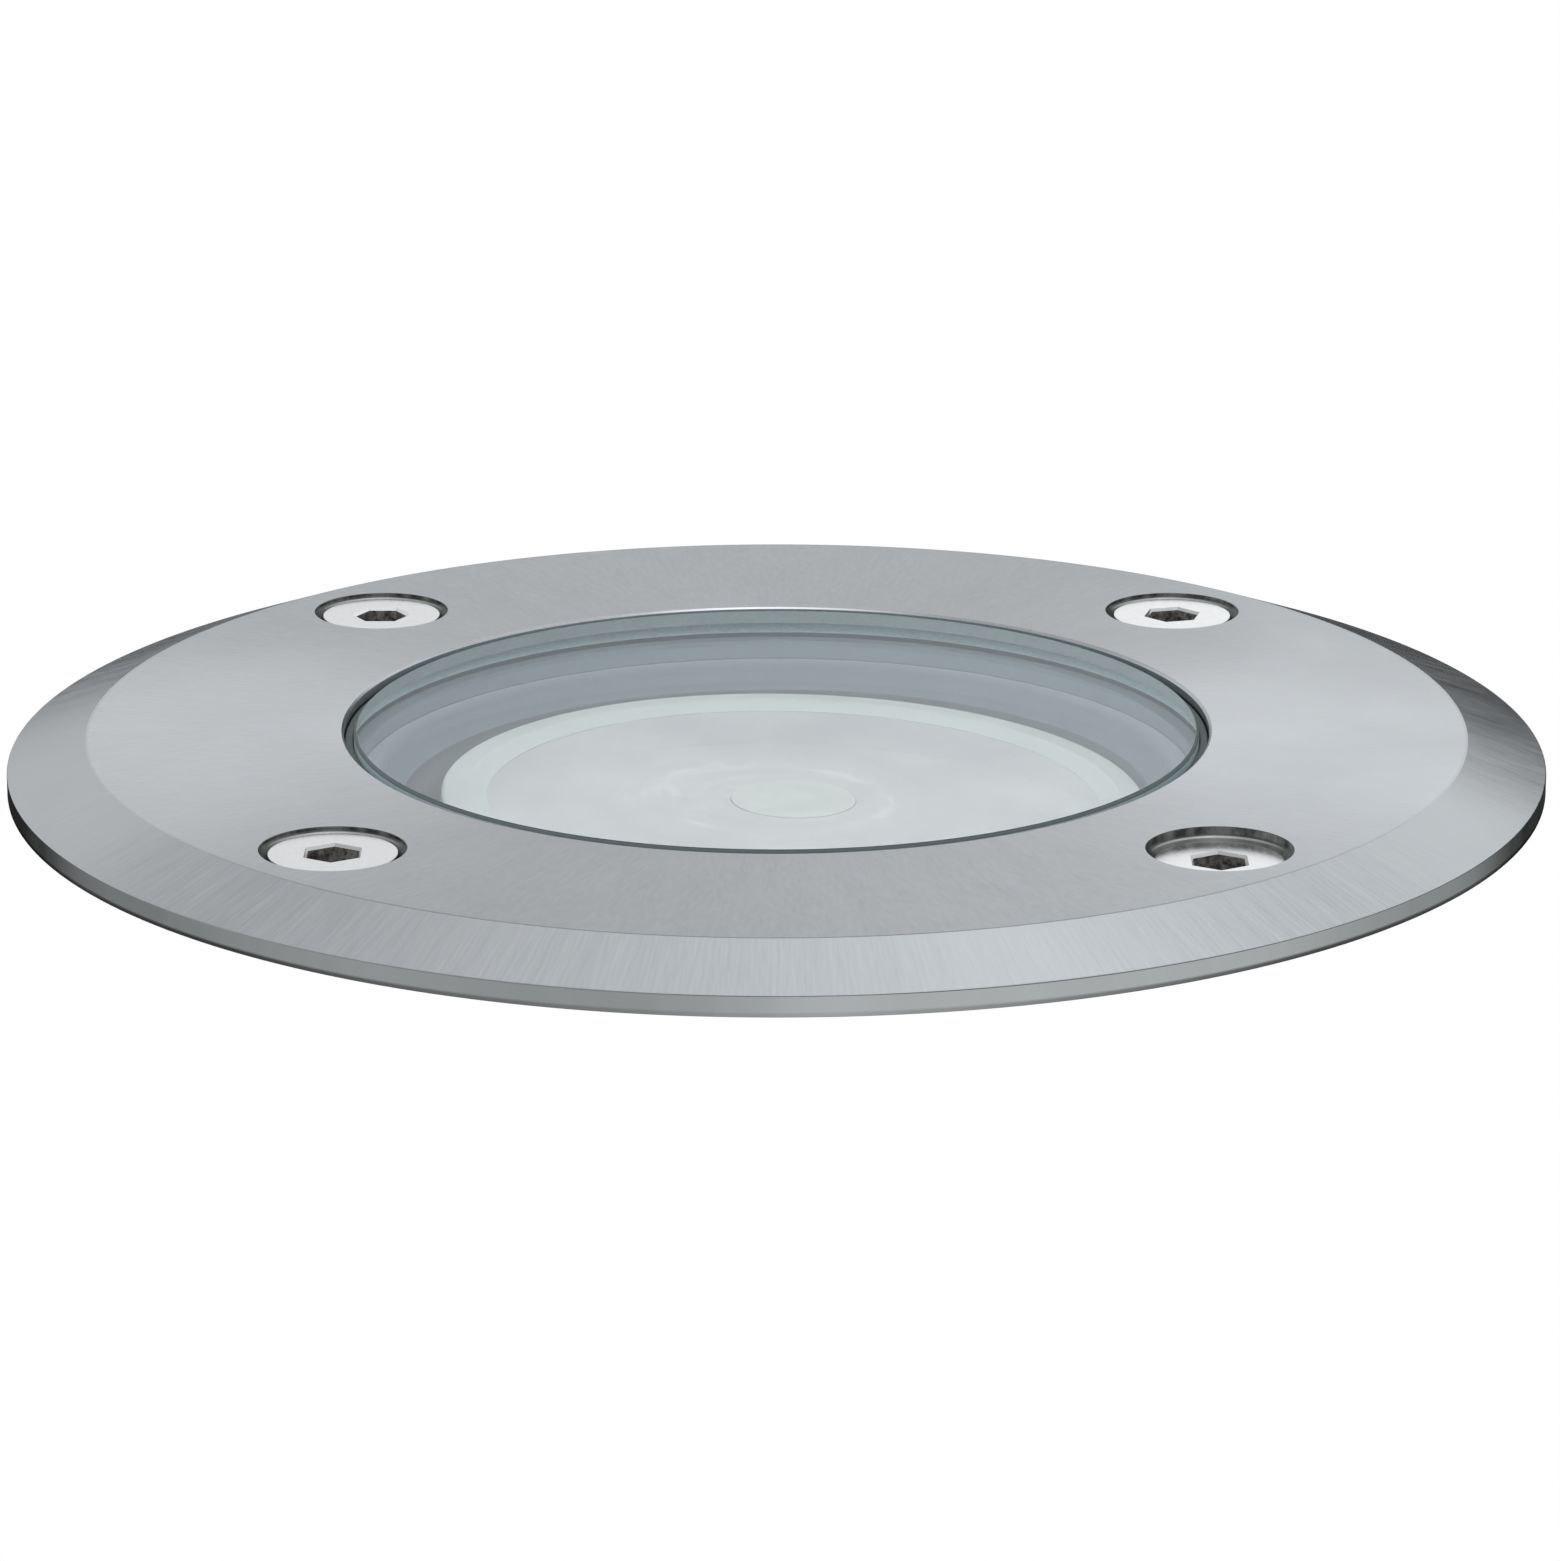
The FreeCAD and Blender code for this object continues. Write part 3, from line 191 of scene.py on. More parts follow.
def softened(profile, radius):
    """Round every corner of a closed (radius, height) profile, with a guard point on both sides of
    each rounding that keeps the shading of the flats flat."""
    points = []
    count = len(profile)
    for i, corner in enumerate(profile):
        here = Vector(corner)
        before = Vector(profile[i - 1]) - here
        after = Vector(profile[(i + 1) % count]) - here
        if here.x == 0 or min(before.length, after.length) < radius / 10:
            points.append(tuple(corner))
            continue
        turn = before.angle(after)
        most = ROUNDING_SHARE
        reach = min(radius / math.tan(turn / 2), before.length * most, after.length * most)
        start = here + before.normalized() * reach
        end = here + after.normalized() * reach
        points.append(tuple(here + before.normalized() * reach * GUARD))
        for k in range(ROUNDING_STEPS + 1):
            t = k / ROUNDING_STEPS
            points.append(tuple((1 - t) ** 2 * start + 2 * t * (1 - t) * here + t ** 2 * end))
        points.append(tuple(here + after.normalized() * reach * GUARD))
    return points


def lathe(name, profile, steps=ROUND_STEPS):
    """Turn a closed (radius, height) profile about the Z axis into a closed mesh."""
    data = bmesh.new()
    rings = []
    for radius, height in profile:
        if radius <= ON_AXIS:
            rings.append([data.verts.new((0, 0, height))])
        else:
            rings.append(add_ring(data, radius, height, steps))
    for low, high in zip(rings, rings[1:] + rings[:1]):
        if len(low) == 1 and len(high) == 1:
            continue
        for k in range(steps):
            n = (k + 1) % steps
            if len(low) == 1:
                corners = (low[0], high[n], high[k])
            elif len(high) == 1:
                corners = (low[k], low[n], high[0])
            else:
                corners = (low[k], low[n], high[n], high[k])
            data.faces.new(corners)
    bmesh.ops.recalc_face_normals(data, faces=data.faces)
    return object_from(name, data)


def hexagon(name, profile, turn):
    """A lathed shape with six sides about the Z axis, with corners left and right before the turn."""
    item = lathe(name, profile, 6)
    item.data.transform(Matrix.Rotation(turn, 4, "Z"))
    return item


def threaded_rod(name, radius, depth, pitch, low, high):
    """A closed rod about the Z axis with a helical V thread that fades at both ends."""
    rows = max(2, round((high - low) / pitch * THREAD_ROWS))
    data = bmesh.new()
    rings = []
    for i in range(rows + 1):
        height = low + (high - low) * i / rows
        fade = min(1, (high - height) / pitch, (height - low) / pitch + THREAD_START)
        ring = []
        for k in range(ROD_STEPS):
            phase = (height / pitch - k / ROD_STEPS) % 1
            reach = radius - depth * abs(2 * phase - 1) * fade
            turn = math.tau * k / ROD_STEPS
            ring.append(data.verts.new((reach * math.cos(turn), reach * math.sin(turn), height)))
        rings.append(ring)
    for lower, upper in zip(rings, rings[1:]):
        for k in range(ROD_STEPS):
            n = (k + 1) % ROD_STEPS
            data.faces.new((lower[k], lower[n], upper[n], upper[k]))
    data.faces.new(list(reversed(rings[0])))
    data.faces.new(rings[-1])
    return object_from(name, data)


def joined(name, items):
    """Merge several meshes into one object."""
    data = bmesh.new()
    for item in items:
        data.from_mesh(item.data)
        bpy.data.objects.remove(item)
    return object_from(name, data)


def carve(item, cutters):
    """Cut other meshes out of a mesh, and drop them."""
    for cutter in cutters:
        modifier = item.modifiers.new("cut", "BOOLEAN")
        modifier.operation = "DIFFERENCE"
        modifier.solver = "EXACT"
        modifier.object = cutter
    bpy.context.view_layer.update()
    graph = bpy.context.evaluated_depsgraph_get()
    mesh = bpy.data.meshes.new_from_object(item.evaluated_get(graph))
    item.modifiers.clear()
    item.data = mesh
    for cutter in cutters:
        bpy.data.objects.remove(cutter)


def coat(item, *materials):
    for material in materials:
        item.data.materials.append(material)


def dress(item, body, nodes, angle=SHARP_ANGLE):
    """Shade a piece, and fix it to its body in place of its CAD nodes."""
    for face in item.data.polygons:
        face.use_smooth = True
    item.data.set_sharp_from_angle(angle=angle)
    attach(item, body)
    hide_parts(*nodes)


# ---------------------------------------------------------------- materials

# Where most values of a noise lie, and the narrower range that gives a strong contrast
NOISE_RANGE = (0.3, 0.7)
MIDDLE_RANGE = (0.38, 0.62)


class Graph:
    """A tree of shader nodes with short ways to add to it. Its curve is the shape of its spans."""

    def __init__(self, tree, curve="LINEAR"):
        self.tree = tree
        self.curve = curve

    def add(self, kind, inputs=None, **settings):
        """Add a node. An input is a value, or the socket that feeds it."""
        node = self.tree.nodes.new(kind)
        for key, value in settings.items():
            setattr(node, key, value)
        for socket, value in (inputs or {}).items():
            if isinstance(value, bpy.types.NodeSocket):
                self.tree.links.new(value, node.inputs[socket])
            else:
                node.inputs[socket].default_value = value
        return node

    def maths(self, operation, first, second=0.0):
        return self.add("ShaderNodeMath", {0: first, 1: second}, operation=operation).outputs[0]

    def total(self, first, *others):
        for other in others:
            first = self.maths("ADD", first, other)
        return first

    def product(self, first, *others):
        for other in others:
            first = self.maths("MULTIPLY", first, other)
        return first

    def span(self, value, low, high, to_low, to_high):
        """Stretch the range from low to high over another one, whose ends hold outside it."""
        inputs = {"Value": value, "From Min": low, "From Max": high,
                  "To Min": to_low, "To Max": to_high}
        return self.add("ShaderNodeMapRange", inputs, interpolation_type=self.curve).outputs[0]

    def between(self, factor, first, second):
        inputs = {"Factor": factor, 2: first, 3: second}
        return self.add("ShaderNodeMix", inputs, data_type="FLOAT").outputs[0]

    def axes(self, vector):
        return self.add("ShaderNodeSeparateXYZ", {0: vector}).outputs

    def mix_shaders(self, factor, first, second):
        return self.add("ShaderNodeMixShader", {0: factor, 1: first.outputs[0], 2: second.outputs[0]})


class Surface(Graph):
    """A material under construction, with its Principled shader."""

    def __init__(self, name, **sockets):
        self.material = bpy.data.materials.new(name)
        self.material.use_nodes = True
        super().__init__(self.material.node_tree)
        self.shader = self.tree.nodes["Principled BSDF"]
        for socket, value in sockets.items():
            self.shader.inputs[socket.replace("_", " ")].default_value = value

    def place(self):
        """Object coordinates, which for a piece that is built in place are those of the whole part."""
        return self.add("ShaderNodeTexCoord").outputs["Object"]

    def radius(self, x, y):
        return self.maths("SQRT", self.total(self.product(x, x), self.product(y, y)))

    def angle(self, x, y):
        """Angle about the Z axis, in turns."""
        return self.maths("DIVIDE", self.maths("ARCTAN2", y, x), math.tau)

    def vector(self, x, y, z):
        return self.add("ShaderNodeCombineXYZ", {0: x, 1: y, 2: z}).outputs[0]

    def noise(self, vector, scale=1.0, detail=4.0, roughness=0.55):
        inputs = {"Vector": vector, "Scale": scale, "Detail": detail, "Roughness": roughness}
        return self.add("ShaderNodeTexNoise", inputs).outputs[0]

    def spread(self, noise, to_low=0.0, to_high=1.0, over=NOISE_RANGE):
        """Stretch the usual range of a noise over another one."""
        return self.span(noise, *over, to_low, to_high)

    def blend(self, factor, first, second):
        inputs = {"Factor": factor, 6: first, 7: second}
        return self.add("ShaderNodeMix", inputs, data_type="RGBA").outputs[2]

    def feed(self, socket, value):
        self.tree.links.new(value, self.shader.inputs[socket])

    def bump(self, height, strength, distance):
        inputs = {"Height": height, "Strength": strength, "Distance": distance}
        self.feed("Normal", self.add("ShaderNodeBump", inputs).outputs[0])


def grey(level, tint=(0, 0, 0)):
    return (level + tint[0], level + tint[1], level + tint[2], 1)


STEEL_TINT = (-0.008, 0.012, 0.030)
RIM_TINT = (-0.004, 0.014, 0.012)
# The coarse part of the grain: how much wider it is than the fine one, its slice and its share
COARSE_ACROSS = 5
COARSE_ALONG = 6
COARSE_SLICE = 7.0
COARSE_SHARE = 0.35
# The share of the clouds in the roughness, and how far it varies above the value stated
CLOUD_SHARE = 0.4
ROUGH_RANGE = 0.14
# Painted dark reflection outermost on the flat, most at the front, and painted shade lowest on the rim,
# most at the sides
DARK_REFLECTION_RADII = (BEVEL_TOP_RADIUS - 0.26 * MM, BEVEL_TOP_RADIUS - 0.08 * MM)
DARK_REFLECTION_FADE = (-44 * MM, -22 * MM, 1.0, 0.3)
DARK_REFLECTION_GREY = grey(0.12)
FOOT_SHADE_HEIGHTS = (0.24 * MM, 0.42 * MM)
FOOT_SHADE_FADE = (4 * MM, 36 * MM, 0.2, 1.0)
FOOT_SHADE_GREY = grey(0.05)


def ring_steel(name, turn, across, along, low, high, rough,
               depth=0.0, tint=STEEL_TINT, dark_reflection=0.0, foot=0.0):
    """Satin steel ground on a lathe or outwards. Its grain runs by radius (across) and by angle
    (along), and turn sets the way that its highlights stretch. Low and high are its greys. The
    last two strengths set a painted dark reflection along the outer edge of the flat and painted
    shade along the foot of the upright rim."""
    look = Surface(name, Metallic=1.0, Anisotropic=0.75, Anisotropic_Rotation=turn)
    x, y, height = look.axes(look.place())
    radius, angle = look.radius(x, y), look.angle(x, y)
    fine = look.noise(look.vector(look.product(radius, across), look.product(angle, along), height))
    wide, long = look.product(radius, across / COARSE_ACROSS), look.product(angle, along / COARSE_ALONG)
    coarse = look.noise(look.vector(wide, long, COARSE_SLICE), detail=3.0)
    grain = look.total(look.product(fine, 1 - COARSE_SHARE), look.product(coarse, COARSE_SHARE))
    cloud = look.noise(look.place(), 70.0, 3.0)
    colour = look.blend(look.spread(grain), grey(low, tint), grey(high, tint))
    # painted dark reflection along the outer edge of the flat, strongest at the front
    if dark_reflection:
        line = look.product(look.span(radius, *DARK_REFLECTION_RADII, 0.0, dark_reflection), look.span(y, *DARK_REFLECTION_FADE))
        colour = look.blend(line, colour, DARK_REFLECTION_GREY)
    # painted shade along the foot of the upright rim, strongest at the sides
    if foot:
        side = look.maths("ABSOLUTE", x)
        line = look.product(look.span(height, *FOOT_SHADE_HEIGHTS, foot, 0.0), look.span(side, *FOOT_SHADE_FADE))
        colour = look.blend(line, colour, FOOT_SHADE_GREY)
    look.feed("Base Color", colour)
    rough_grain = look.total(look.product(grain, 1 - CLOUD_SHARE), look.product(cloud, CLOUD_SHARE))
    look.feed("Roughness", look.spread(rough_grain, rough, rough + ROUGH_RANGE))
    if depth:
        look.bump(grain, 0.08, depth)
    look.feed("Tangent", look.add("ShaderNodeTangent", direction_type="RADIAL", axis="Z").outputs[0])
    return look.material


# Painted highlight under the edge of a countersink, by radius, and how it fades towards the sides
SINK_HIGHLIGHT = (
    (4.74 * MM, 4.79 * MM, 0.2, 1.0),
    (4.85 * MM, 4.90 * MM, 1.0, 0.0),
    (4.52 * MM, 4.62 * MM, 0.0, 1.0),
)
SINK_HIGHLIGHT_FADE = (0.3, 0.85, 0.0, 1.0)
SINK_HIGHLIGHT_GREY = grey(0.6)
# How many spots of the grain in a countersink cross a metre, along x, y and z
SINK_GRAIN = (900, 900, 500)


def sink_material(name, low, high, highlighted=False):
    """Steel of a countersink, darkened with painted shade; a highlighted one also has a painted
    highlight under its edge.
    """
    look = Surface(name, Metallic=1.0)
    x, y, z = look.axes(look.place())
    across = look.maths("SUBTRACT", look.maths("ABSOLUTE", x), SCREW_OFFSET)
    forward = look.maths("SUBTRACT", y, look.product(look.maths("SIGN", y), SCREW_OFFSET))
    radius = look.radius(across, forward)
    grain = [look.product(*pair) for pair in zip((across, forward, z), SINK_GRAIN)]
    blotch = look.noise(look.vector(*grain), detail=3.0)
    # the dark greys are painted shade in the countersink
    dark, light = grey(low, (0.004, 0.008, 0)), grey(high, (0.004, 0.01, 0.004))
    colour = look.blend(look.spread(blotch, over=(0.36, 0.64)), dark, light)
    # painted highlight under the edge, strongest where the edge faces the front or the back
    if highlighted:
        facing = look.maths("DIVIDE", look.maths("ABSOLUTE", forward), radius)
        steps = [look.span(radius, *step) for step in SINK_HIGHLIGHT]
        line = look.product(*steps, look.span(facing, *SINK_HIGHLIGHT_FADE))
        colour = look.blend(line, colour, SINK_HIGHLIGHT_GREY)
    look.feed("Base Color", colour)
    look.feed("Roughness", look.spread(blotch, 0.3, 0.46))
    look.bump(blotch, 0.1, 0.02 * MM)
    return look.material


def screw_material():
    look = Surface("screw_steel", Metallic=1.0)
    fine = look.noise(look.place(), 2600.0)
    look.feed("Base Color", look.blend(look.spread(fine), grey(0.83), grey(0.89)))
    look.feed("Roughness", look.spread(fine, 0.2, 0.28))
    look.bump(fine, 0.02, 0.01 * MM)
    return look.material


def socket_material():
    """Inside of a hex socket, darkened with painted shade, with spots of dry dirt in it."""
    look = Surface("socket_shade_and_dirt", Metallic=0.7, Roughness=0.45)
    spots = look.noise(look.place(), 1800.0, 5.0, 0.7)
    # the dark grey is painted shade in the socket, the light spots are dry dirt
    dark, light = (0.06, 0.056, 0.052, 1), (0.40, 0.385, 0.365, 1)
    look.feed("Base Color", look.blend(look.spread(spots, over=MIDDLE_RANGE), dark, light))
    look.bump(spots, 0.4, 0.1 * MM)
    return look.material


def glass_material():
    look = Surface("clear_glass", Base_Color=(0.965, 0.985, 0.985, 1), Roughness=0.0, IOR=1.5,
                   Transmission_Weight=1.0)
    tint = {"Color": (0.70, 0.88, 0.86, 1), "Density": 8.0}
    volume = look.add("ShaderNodeVolumeAbsorption", tint)
    look.tree.links.new(volume.outputs[0], look.tree.nodes["Material Output"].inputs["Volume"])
    return look.material


def ground_glass_material(name, level):
    """Matt ground edge of the glass."""
    look = Surface(name, IOR=1.5)
    grit = look.noise(look.place(), 2200.0)
    tint = (-0.12 * level, 0.1 * level, 0.15 * level)
    dark, light = grey(level * 0.9, tint), grey(level * 1.1, tint)
    look.feed("Base Color", look.blend(look.spread(grit), dark, light))
    look.feed("Roughness", look.spread(grit, 0.5, 0.7))
    look.bump(grit, 0.3, 0.02 * MM)
    return look.material


def plain_material(name, dark, light, scale, rough, depth, metallic=0.0, **sockets):
    """A surface whose colour, roughness and grain vary a little over it."""
    look = Surface(name, Metallic=metallic, **sockets)
    spots = look.noise(look.place(), scale)
    look.feed("Base Color", look.blend(look.spread(spots), (*dark, 1), (*light, 1)))
    look.feed("Roughness", look.spread(spots, *rough))
    look.bump(spots, 0.35, depth)
    return look.material


# Heights of painted light on the trim ring: on its upper edge, and where the lamp stands close to it
TRIM_EDGE_PAINTED_LIGHT = (-6.4 * MM, -5.8 * MM, 0.0, 1.0)
TRIM_LAMP_PAINTED_LIGHT = (-9.6 * MM, -8.2 * MM, 0.75, 0.0)


def trim_material():
    """Blue-grey paint, with painted light on its upper edge and where the lamp stands close to it."""
    look = Surface("trim_paint")
    spots = look.noise(look.place(), 160.0)
    _, _, height = look.axes(look.place())
    paint = look.blend(look.spread(spots), (0.185, 0.245, 0.300, 1), (0.205, 0.265, 0.320, 1))
    # painted light on the upper edge of the slope
    paint = look.blend(look.span(height, *TRIM_EDGE_PAINTED_LIGHT), paint, (0.31, 0.37, 0.425, 1))
    # painted light where the lamp stands close, against the shade of the gap beside it
    paint = look.blend(look.span(height, *TRIM_LAMP_PAINTED_LIGHT), paint, (0.50, 0.57, 0.615, 1))
    look.feed("Base Color", paint)
    look.feed("Roughness", look.spread(spots, 0.6, 0.75))
    return look.material


# Swirls of the diffuser: how often they come round, how far they bend, how many cross a metre of
# radius, and by radius their share in the colour and the zone of the bright streaks, which show
# where the swirls and the clouds are strong
SWIRL_TURNS = 4
SWIRL_BEND = 2.5
SWIRL_SLICE = 2.0
SWIRL_SCALE = 420
SWIRL_SHARE = (4 * MM, 15 * MM, 0.8, 0.2)
STREAKS_START = (5 * MM, 7.5 * MM, 0.0, 1.0)
STREAKS_END = (9.5 * MM, 13 * MM, 1.0, 0.0)
STREAK_SWIRLS = (0.54, 0.64, 0.0, 0.85)
STREAK_CLOUDS = (0.46, 0.58, 0.1, 1.0)
STREAK_GREY = grey(0.97)


def diffuser_material(name, dark, light, tint):
    """Opal plastic with faint moulded swirls, which are stronger and brighter round the middle."""
    look = Surface(name, Coat_Weight=0.3)
    x, y, _ = look.axes(look.place())
    radius = look.radius(x, y)
    bend = look.noise(look.place(), 130.0, 2.0)
    turn = look.total(look.product(look.angle(x, y), SWIRL_TURNS), look.product(bend, SWIRL_BEND))
    wound = look.vector(look.product(radius, SWIRL_SCALE), turn, look.product(bend, SWIRL_SLICE))
    swirl = look.noise(wound)
    cloud = look.noise(look.place(), 90.0)
    near = look.span(radius, *SWIRL_SHARE)
    far = look.maths("SUBTRACT", 1.0, near)
    mixed = look.total(look.product(swirl, near), look.product(cloud, far))
    colour = look.blend(look.spread(mixed, over=MIDDLE_RANGE), grey(dark, tint), grey(light, tint))
    zone = look.product(look.span(radius, *STREAKS_START), look.span(radius, *STREAKS_END))
    streak = look.product(zone, look.span(swirl, *STREAK_SWIRLS), look.span(cloud, *STREAK_CLOUDS))
    look.feed("Base Color", look.blend(streak, colour, STREAK_GREY))
    look.feed("Roughness", look.spread(mixed, 0.34, 0.58, MIDDLE_RANGE))
    look.bump(mixed, 0.2, 0.15 * MM)
    return look.material


# the flat steel carries a painted dark reflection along its outer edge
FLAT_STEEL = ring_steel(
    "flat_steel", turn=0.25, across=700, along=700,
    low=0.55, high=0.67, rough=0.28, depth=0.02 * MM, dark_reflection=0.5)
BEVEL_STEEL = ring_steel(
    "bevel_steel", turn=0.0, across=260, along=1300,
    low=0.565, high=0.65, rough=0.15)
# the rim steel carries painted shade along its foot
RIM_STEEL = ring_steel(
    "rim_steel", turn=0.0, across=300, along=90,
    low=0.52, high=0.60, rough=0.12, tint=RIM_TINT, foot=0.9)
# painted shade in the countersinks: dark steel on their walls and darker on their cones, which also
# carry a painted highlight
SINK_WALL_SHADED = sink_material("sink_wall_shaded_steel", 0.10, 0.42)
SINK_CONE_SHADED = sink_material("sink_cone_shaded_steel", 0.07, 0.16, highlighted=True)
SCREW = screw_material()
# painted shade and dry dirt in the screw sockets
SOCKET_SHADE_AND_DIRT = socket_material()
GLASS = glass_material()
GROUND_GLASS = ground_glass_material("ground_glass", 0.48)
# painted shade: a darker copy of the ground glass for its top edge
GLASS_EDGE_SHADED = ground_glass_material("glass_edge_shaded", 0.075)
# painted light: a lighter copy of the ground glass for its seat, against the shade under it
GLASS_SEAT_PAINTED_LIGHT = ground_glass_material("glass_seat_painted_light", 0.8)
OPAL = diffuser_material("opal_diffuser", 0.735, 0.86, (0.010, -0.006, 0.008))
OPAL_SPOT = diffuser_material("opal_centre", 0.79, 0.88, (0, 0.012, -0.006))
TRIM = trim_material()
RUBBER = plain_material(
    "gasket_rubber", dark=(0.05, 0.06, 0.065), light=(0.08, 0.09, 0.095),
    scale=900, rough=(0.5, 0.7), depth=0.03 * MM)
SILICONE = plain_material(
    "gasket_silicone", dark=(0.28, 0.375, 0.42), light=(0.32, 0.415, 0.46),
    scale=600, rough=(0.5, 0.65), depth=0.02 * MM)
LIP = plain_material(
    "lip_rubber", dark=(0.05, 0.06, 0.062), light=(0.068, 0.08, 0.083),
    scale=900, rough=(0.5, 0.7), depth=0.03 * MM)
BEZEL = plain_material(
    "lamp_rim_plastic", dark=(0.785, 0.825, 0.805), light=(0.84, 0.87, 0.855),
    scale=120, rough=(0.3, 0.42), depth=0.02 * MM)
CAST = plain_material(
    "cast_alloy", dark=(0.30, 0.31, 0.32), light=(0.46, 0.47, 0.48),
    scale=700, rough=(0.45, 0.7), depth=0.15 * MM, metallic=0.85)
SLEEVE = plain_material(
    "sleeve_plastic", dark=(0.018, 0.018, 0.02), light=(0.04, 0.04, 0.043),
    scale=500, rough=(0.42, 0.6), depth=0.06 * MM)
NYLON = plain_material(
    "gland_nylon", dark=(0.022, 0.022, 0.024), light=(0.045, 0.045, 0.048),
    scale=1200, rough=(0.35, 0.5), depth=0.03 * MM)
BRASS = plain_material(
    "brass", dark=(0.62, 0.44, 0.18), light=(0.74, 0.56, 0.28),
    scale=1500, rough=(0.25, 0.4), depth=0.02 * MM, metallic=1.0)
WASHER = plain_material(
    "washer_nylon", dark=(0.62, 0.61, 0.57), light=(0.72, 0.71, 0.67),
    scale=900, rough=(0.4, 0.55), depth=0.03 * MM)
CUP = plain_material(
    "lamp_cup_alloy", dark=(0.52, 0.53, 0.54), light=(0.62, 0.63, 0.64),
    scale=400, rough=(0.32, 0.45), depth=0.03 * MM, metallic=1.0)
BOARD = plain_material(
    "board_white", dark=(0.70, 0.72, 0.71), light=(0.78, 0.80, 0.79),
    scale=500, rough=(0.35, 0.5), depth=0.02 * MM)
PHOSPHOR = plain_material(
    "emitter_gel", dark=(0.78, 0.60, 0.08), light=(0.86, 0.70, 0.16),
    scale=1800, rough=(0.25, 0.4), depth=0.03 * MM, Coat_Weight=0.4)
CIRCUIT = plain_material(
    "circuit_board", dark=(0.012, 0.10, 0.045), light=(0.03, 0.17, 0.08),
    scale=900, rough=(0.3, 0.5), depth=0.04 * MM)
BASE = plain_material(
    "base_plastic", dark=(0.66, 0.66, 0.63), light=(0.74, 0.74, 0.71),
    scale=600, rough=(0.35, 0.5), depth=0.03 * MM)
CERAMIC = plain_material(
    "holder_ceramic", dark=(0.70, 0.67, 0.60), light=(0.80, 0.78, 0.72),
    scale=1100, rough=(0.25, 0.5), depth=0.05 * MM)
NICKEL = plain_material(
    "pin_nickel", dark=(0.66, 0.62, 0.55), light=(0.76, 0.72, 0.65),
    scale=1400, rough=(0.2, 0.34), depth=0.02 * MM, metallic=1.0)
ZINC = plain_material(
    "zinc_plate", dark=(0.50, 0.52, 0.53), light=(0.68, 0.70, 0.71),
    scale=320, rough=(0.25, 0.45), depth=0.03 * MM, metallic=1.0)
BLOCK = plain_material(
    "block_plastic", dark=(0.22, 0.23, 0.235), light=(0.28, 0.29, 0.295),
    scale=700, rough=(0.4, 0.55), depth=0.03 * MM)
BROWN = plain_material(
    "lead_brown", dark=(0.10, 0.045, 0.02), light=(0.15, 0.07, 0.035),
    scale=900, rough=(0.35, 0.5), depth=0.02 * MM)
BLUE = plain_material(
    "lead_blue", dark=(0.02, 0.09, 0.32), light=(0.035, 0.13, 0.42),
    scale=900, rough=(0.35, 0.5), depth=0.02 * MM)
GREEN = plain_material(
    "lead_green", dark=(0.03, 0.24, 0.05), light=(0.06, 0.34, 0.09),
    scale=900, rough=(0.35, 0.5), depth=0.02 * MM)


# ---------------------------------------------------------------- pieces

# How much the normal of a face rises, at most, on an upright wall and on the upright rim, and
# between which values on the chamfer of a socket
WALL_RISE = 0.3
RIM_RISE = 0.7
CHAMFER_RISE = (0.1, 0.95)
# Faces of a screw lie in its socket within this share of half its flats, and this far below the top
SOCKET_SHARE = 1.2
SOCKET_DROP = 0.05 * MM
# Faces of the glass are ground outside the first share of its chamfer; below the second they are plain
# ground, above it ground with painted shade
GROUND_SHARE = 0.85
GROUND_DROP = 1.2


def ring_profile():
    return [
        (OPENING_RADIUS, 0),
        (RIM_RADIUS, 0),
        (RIM_RADIUS, RIM_HEIGHT),
        (BEVEL_TOP_RADIUS, COVER_HEIGHT),
        (OPENING_RADIUS + OPENING_BREAK, COVER_HEIGHT),
        (OPENING_RADIUS, COVER_HEIGHT - OPENING_BREAK),
    ]


def sink_profile(drop):
    """Section of the hole for a cover screw: an upright mouth over its cone, with its edge broken."""
    seat = COVER_HEIGHT - drop * DEEP_SEAT - SINK_LAND
    return [
        (0, -CUT_OVER),
        (SCREW_HOLE_RADIUS, -CUT_OVER),
        (SCREW_HOLE_RADIUS, seat - SINK_RADIUS + SCREW_HOLE_RADIUS),
        (SINK_RADIUS, seat),
        (SINK_RADIUS, COVER_HEIGHT - SINK_EDGE),
        (SINK_RADIUS + SINK_EDGE, COVER_HEIGHT),
        (SINK_RADIUS + SINK_EDGE, COVER_HEIGHT + CUT_OVER),
        (0, COVER_HEIGHT + CUT_OVER),
    ]


def in_sink(point):
    """Whether a point of the ring lies in one of its countersinks, below their broken edge."""
    across, forward = abs(abs(point.x) - SCREW_OFFSET), abs(abs(point.y) - SCREW_OFFSET)
    inside = math.hypot(across, forward) < SINK_RADIUS + SINK_EDGE
    return inside and point.z < COVER_HEIGHT - SINK_EDGE / 4


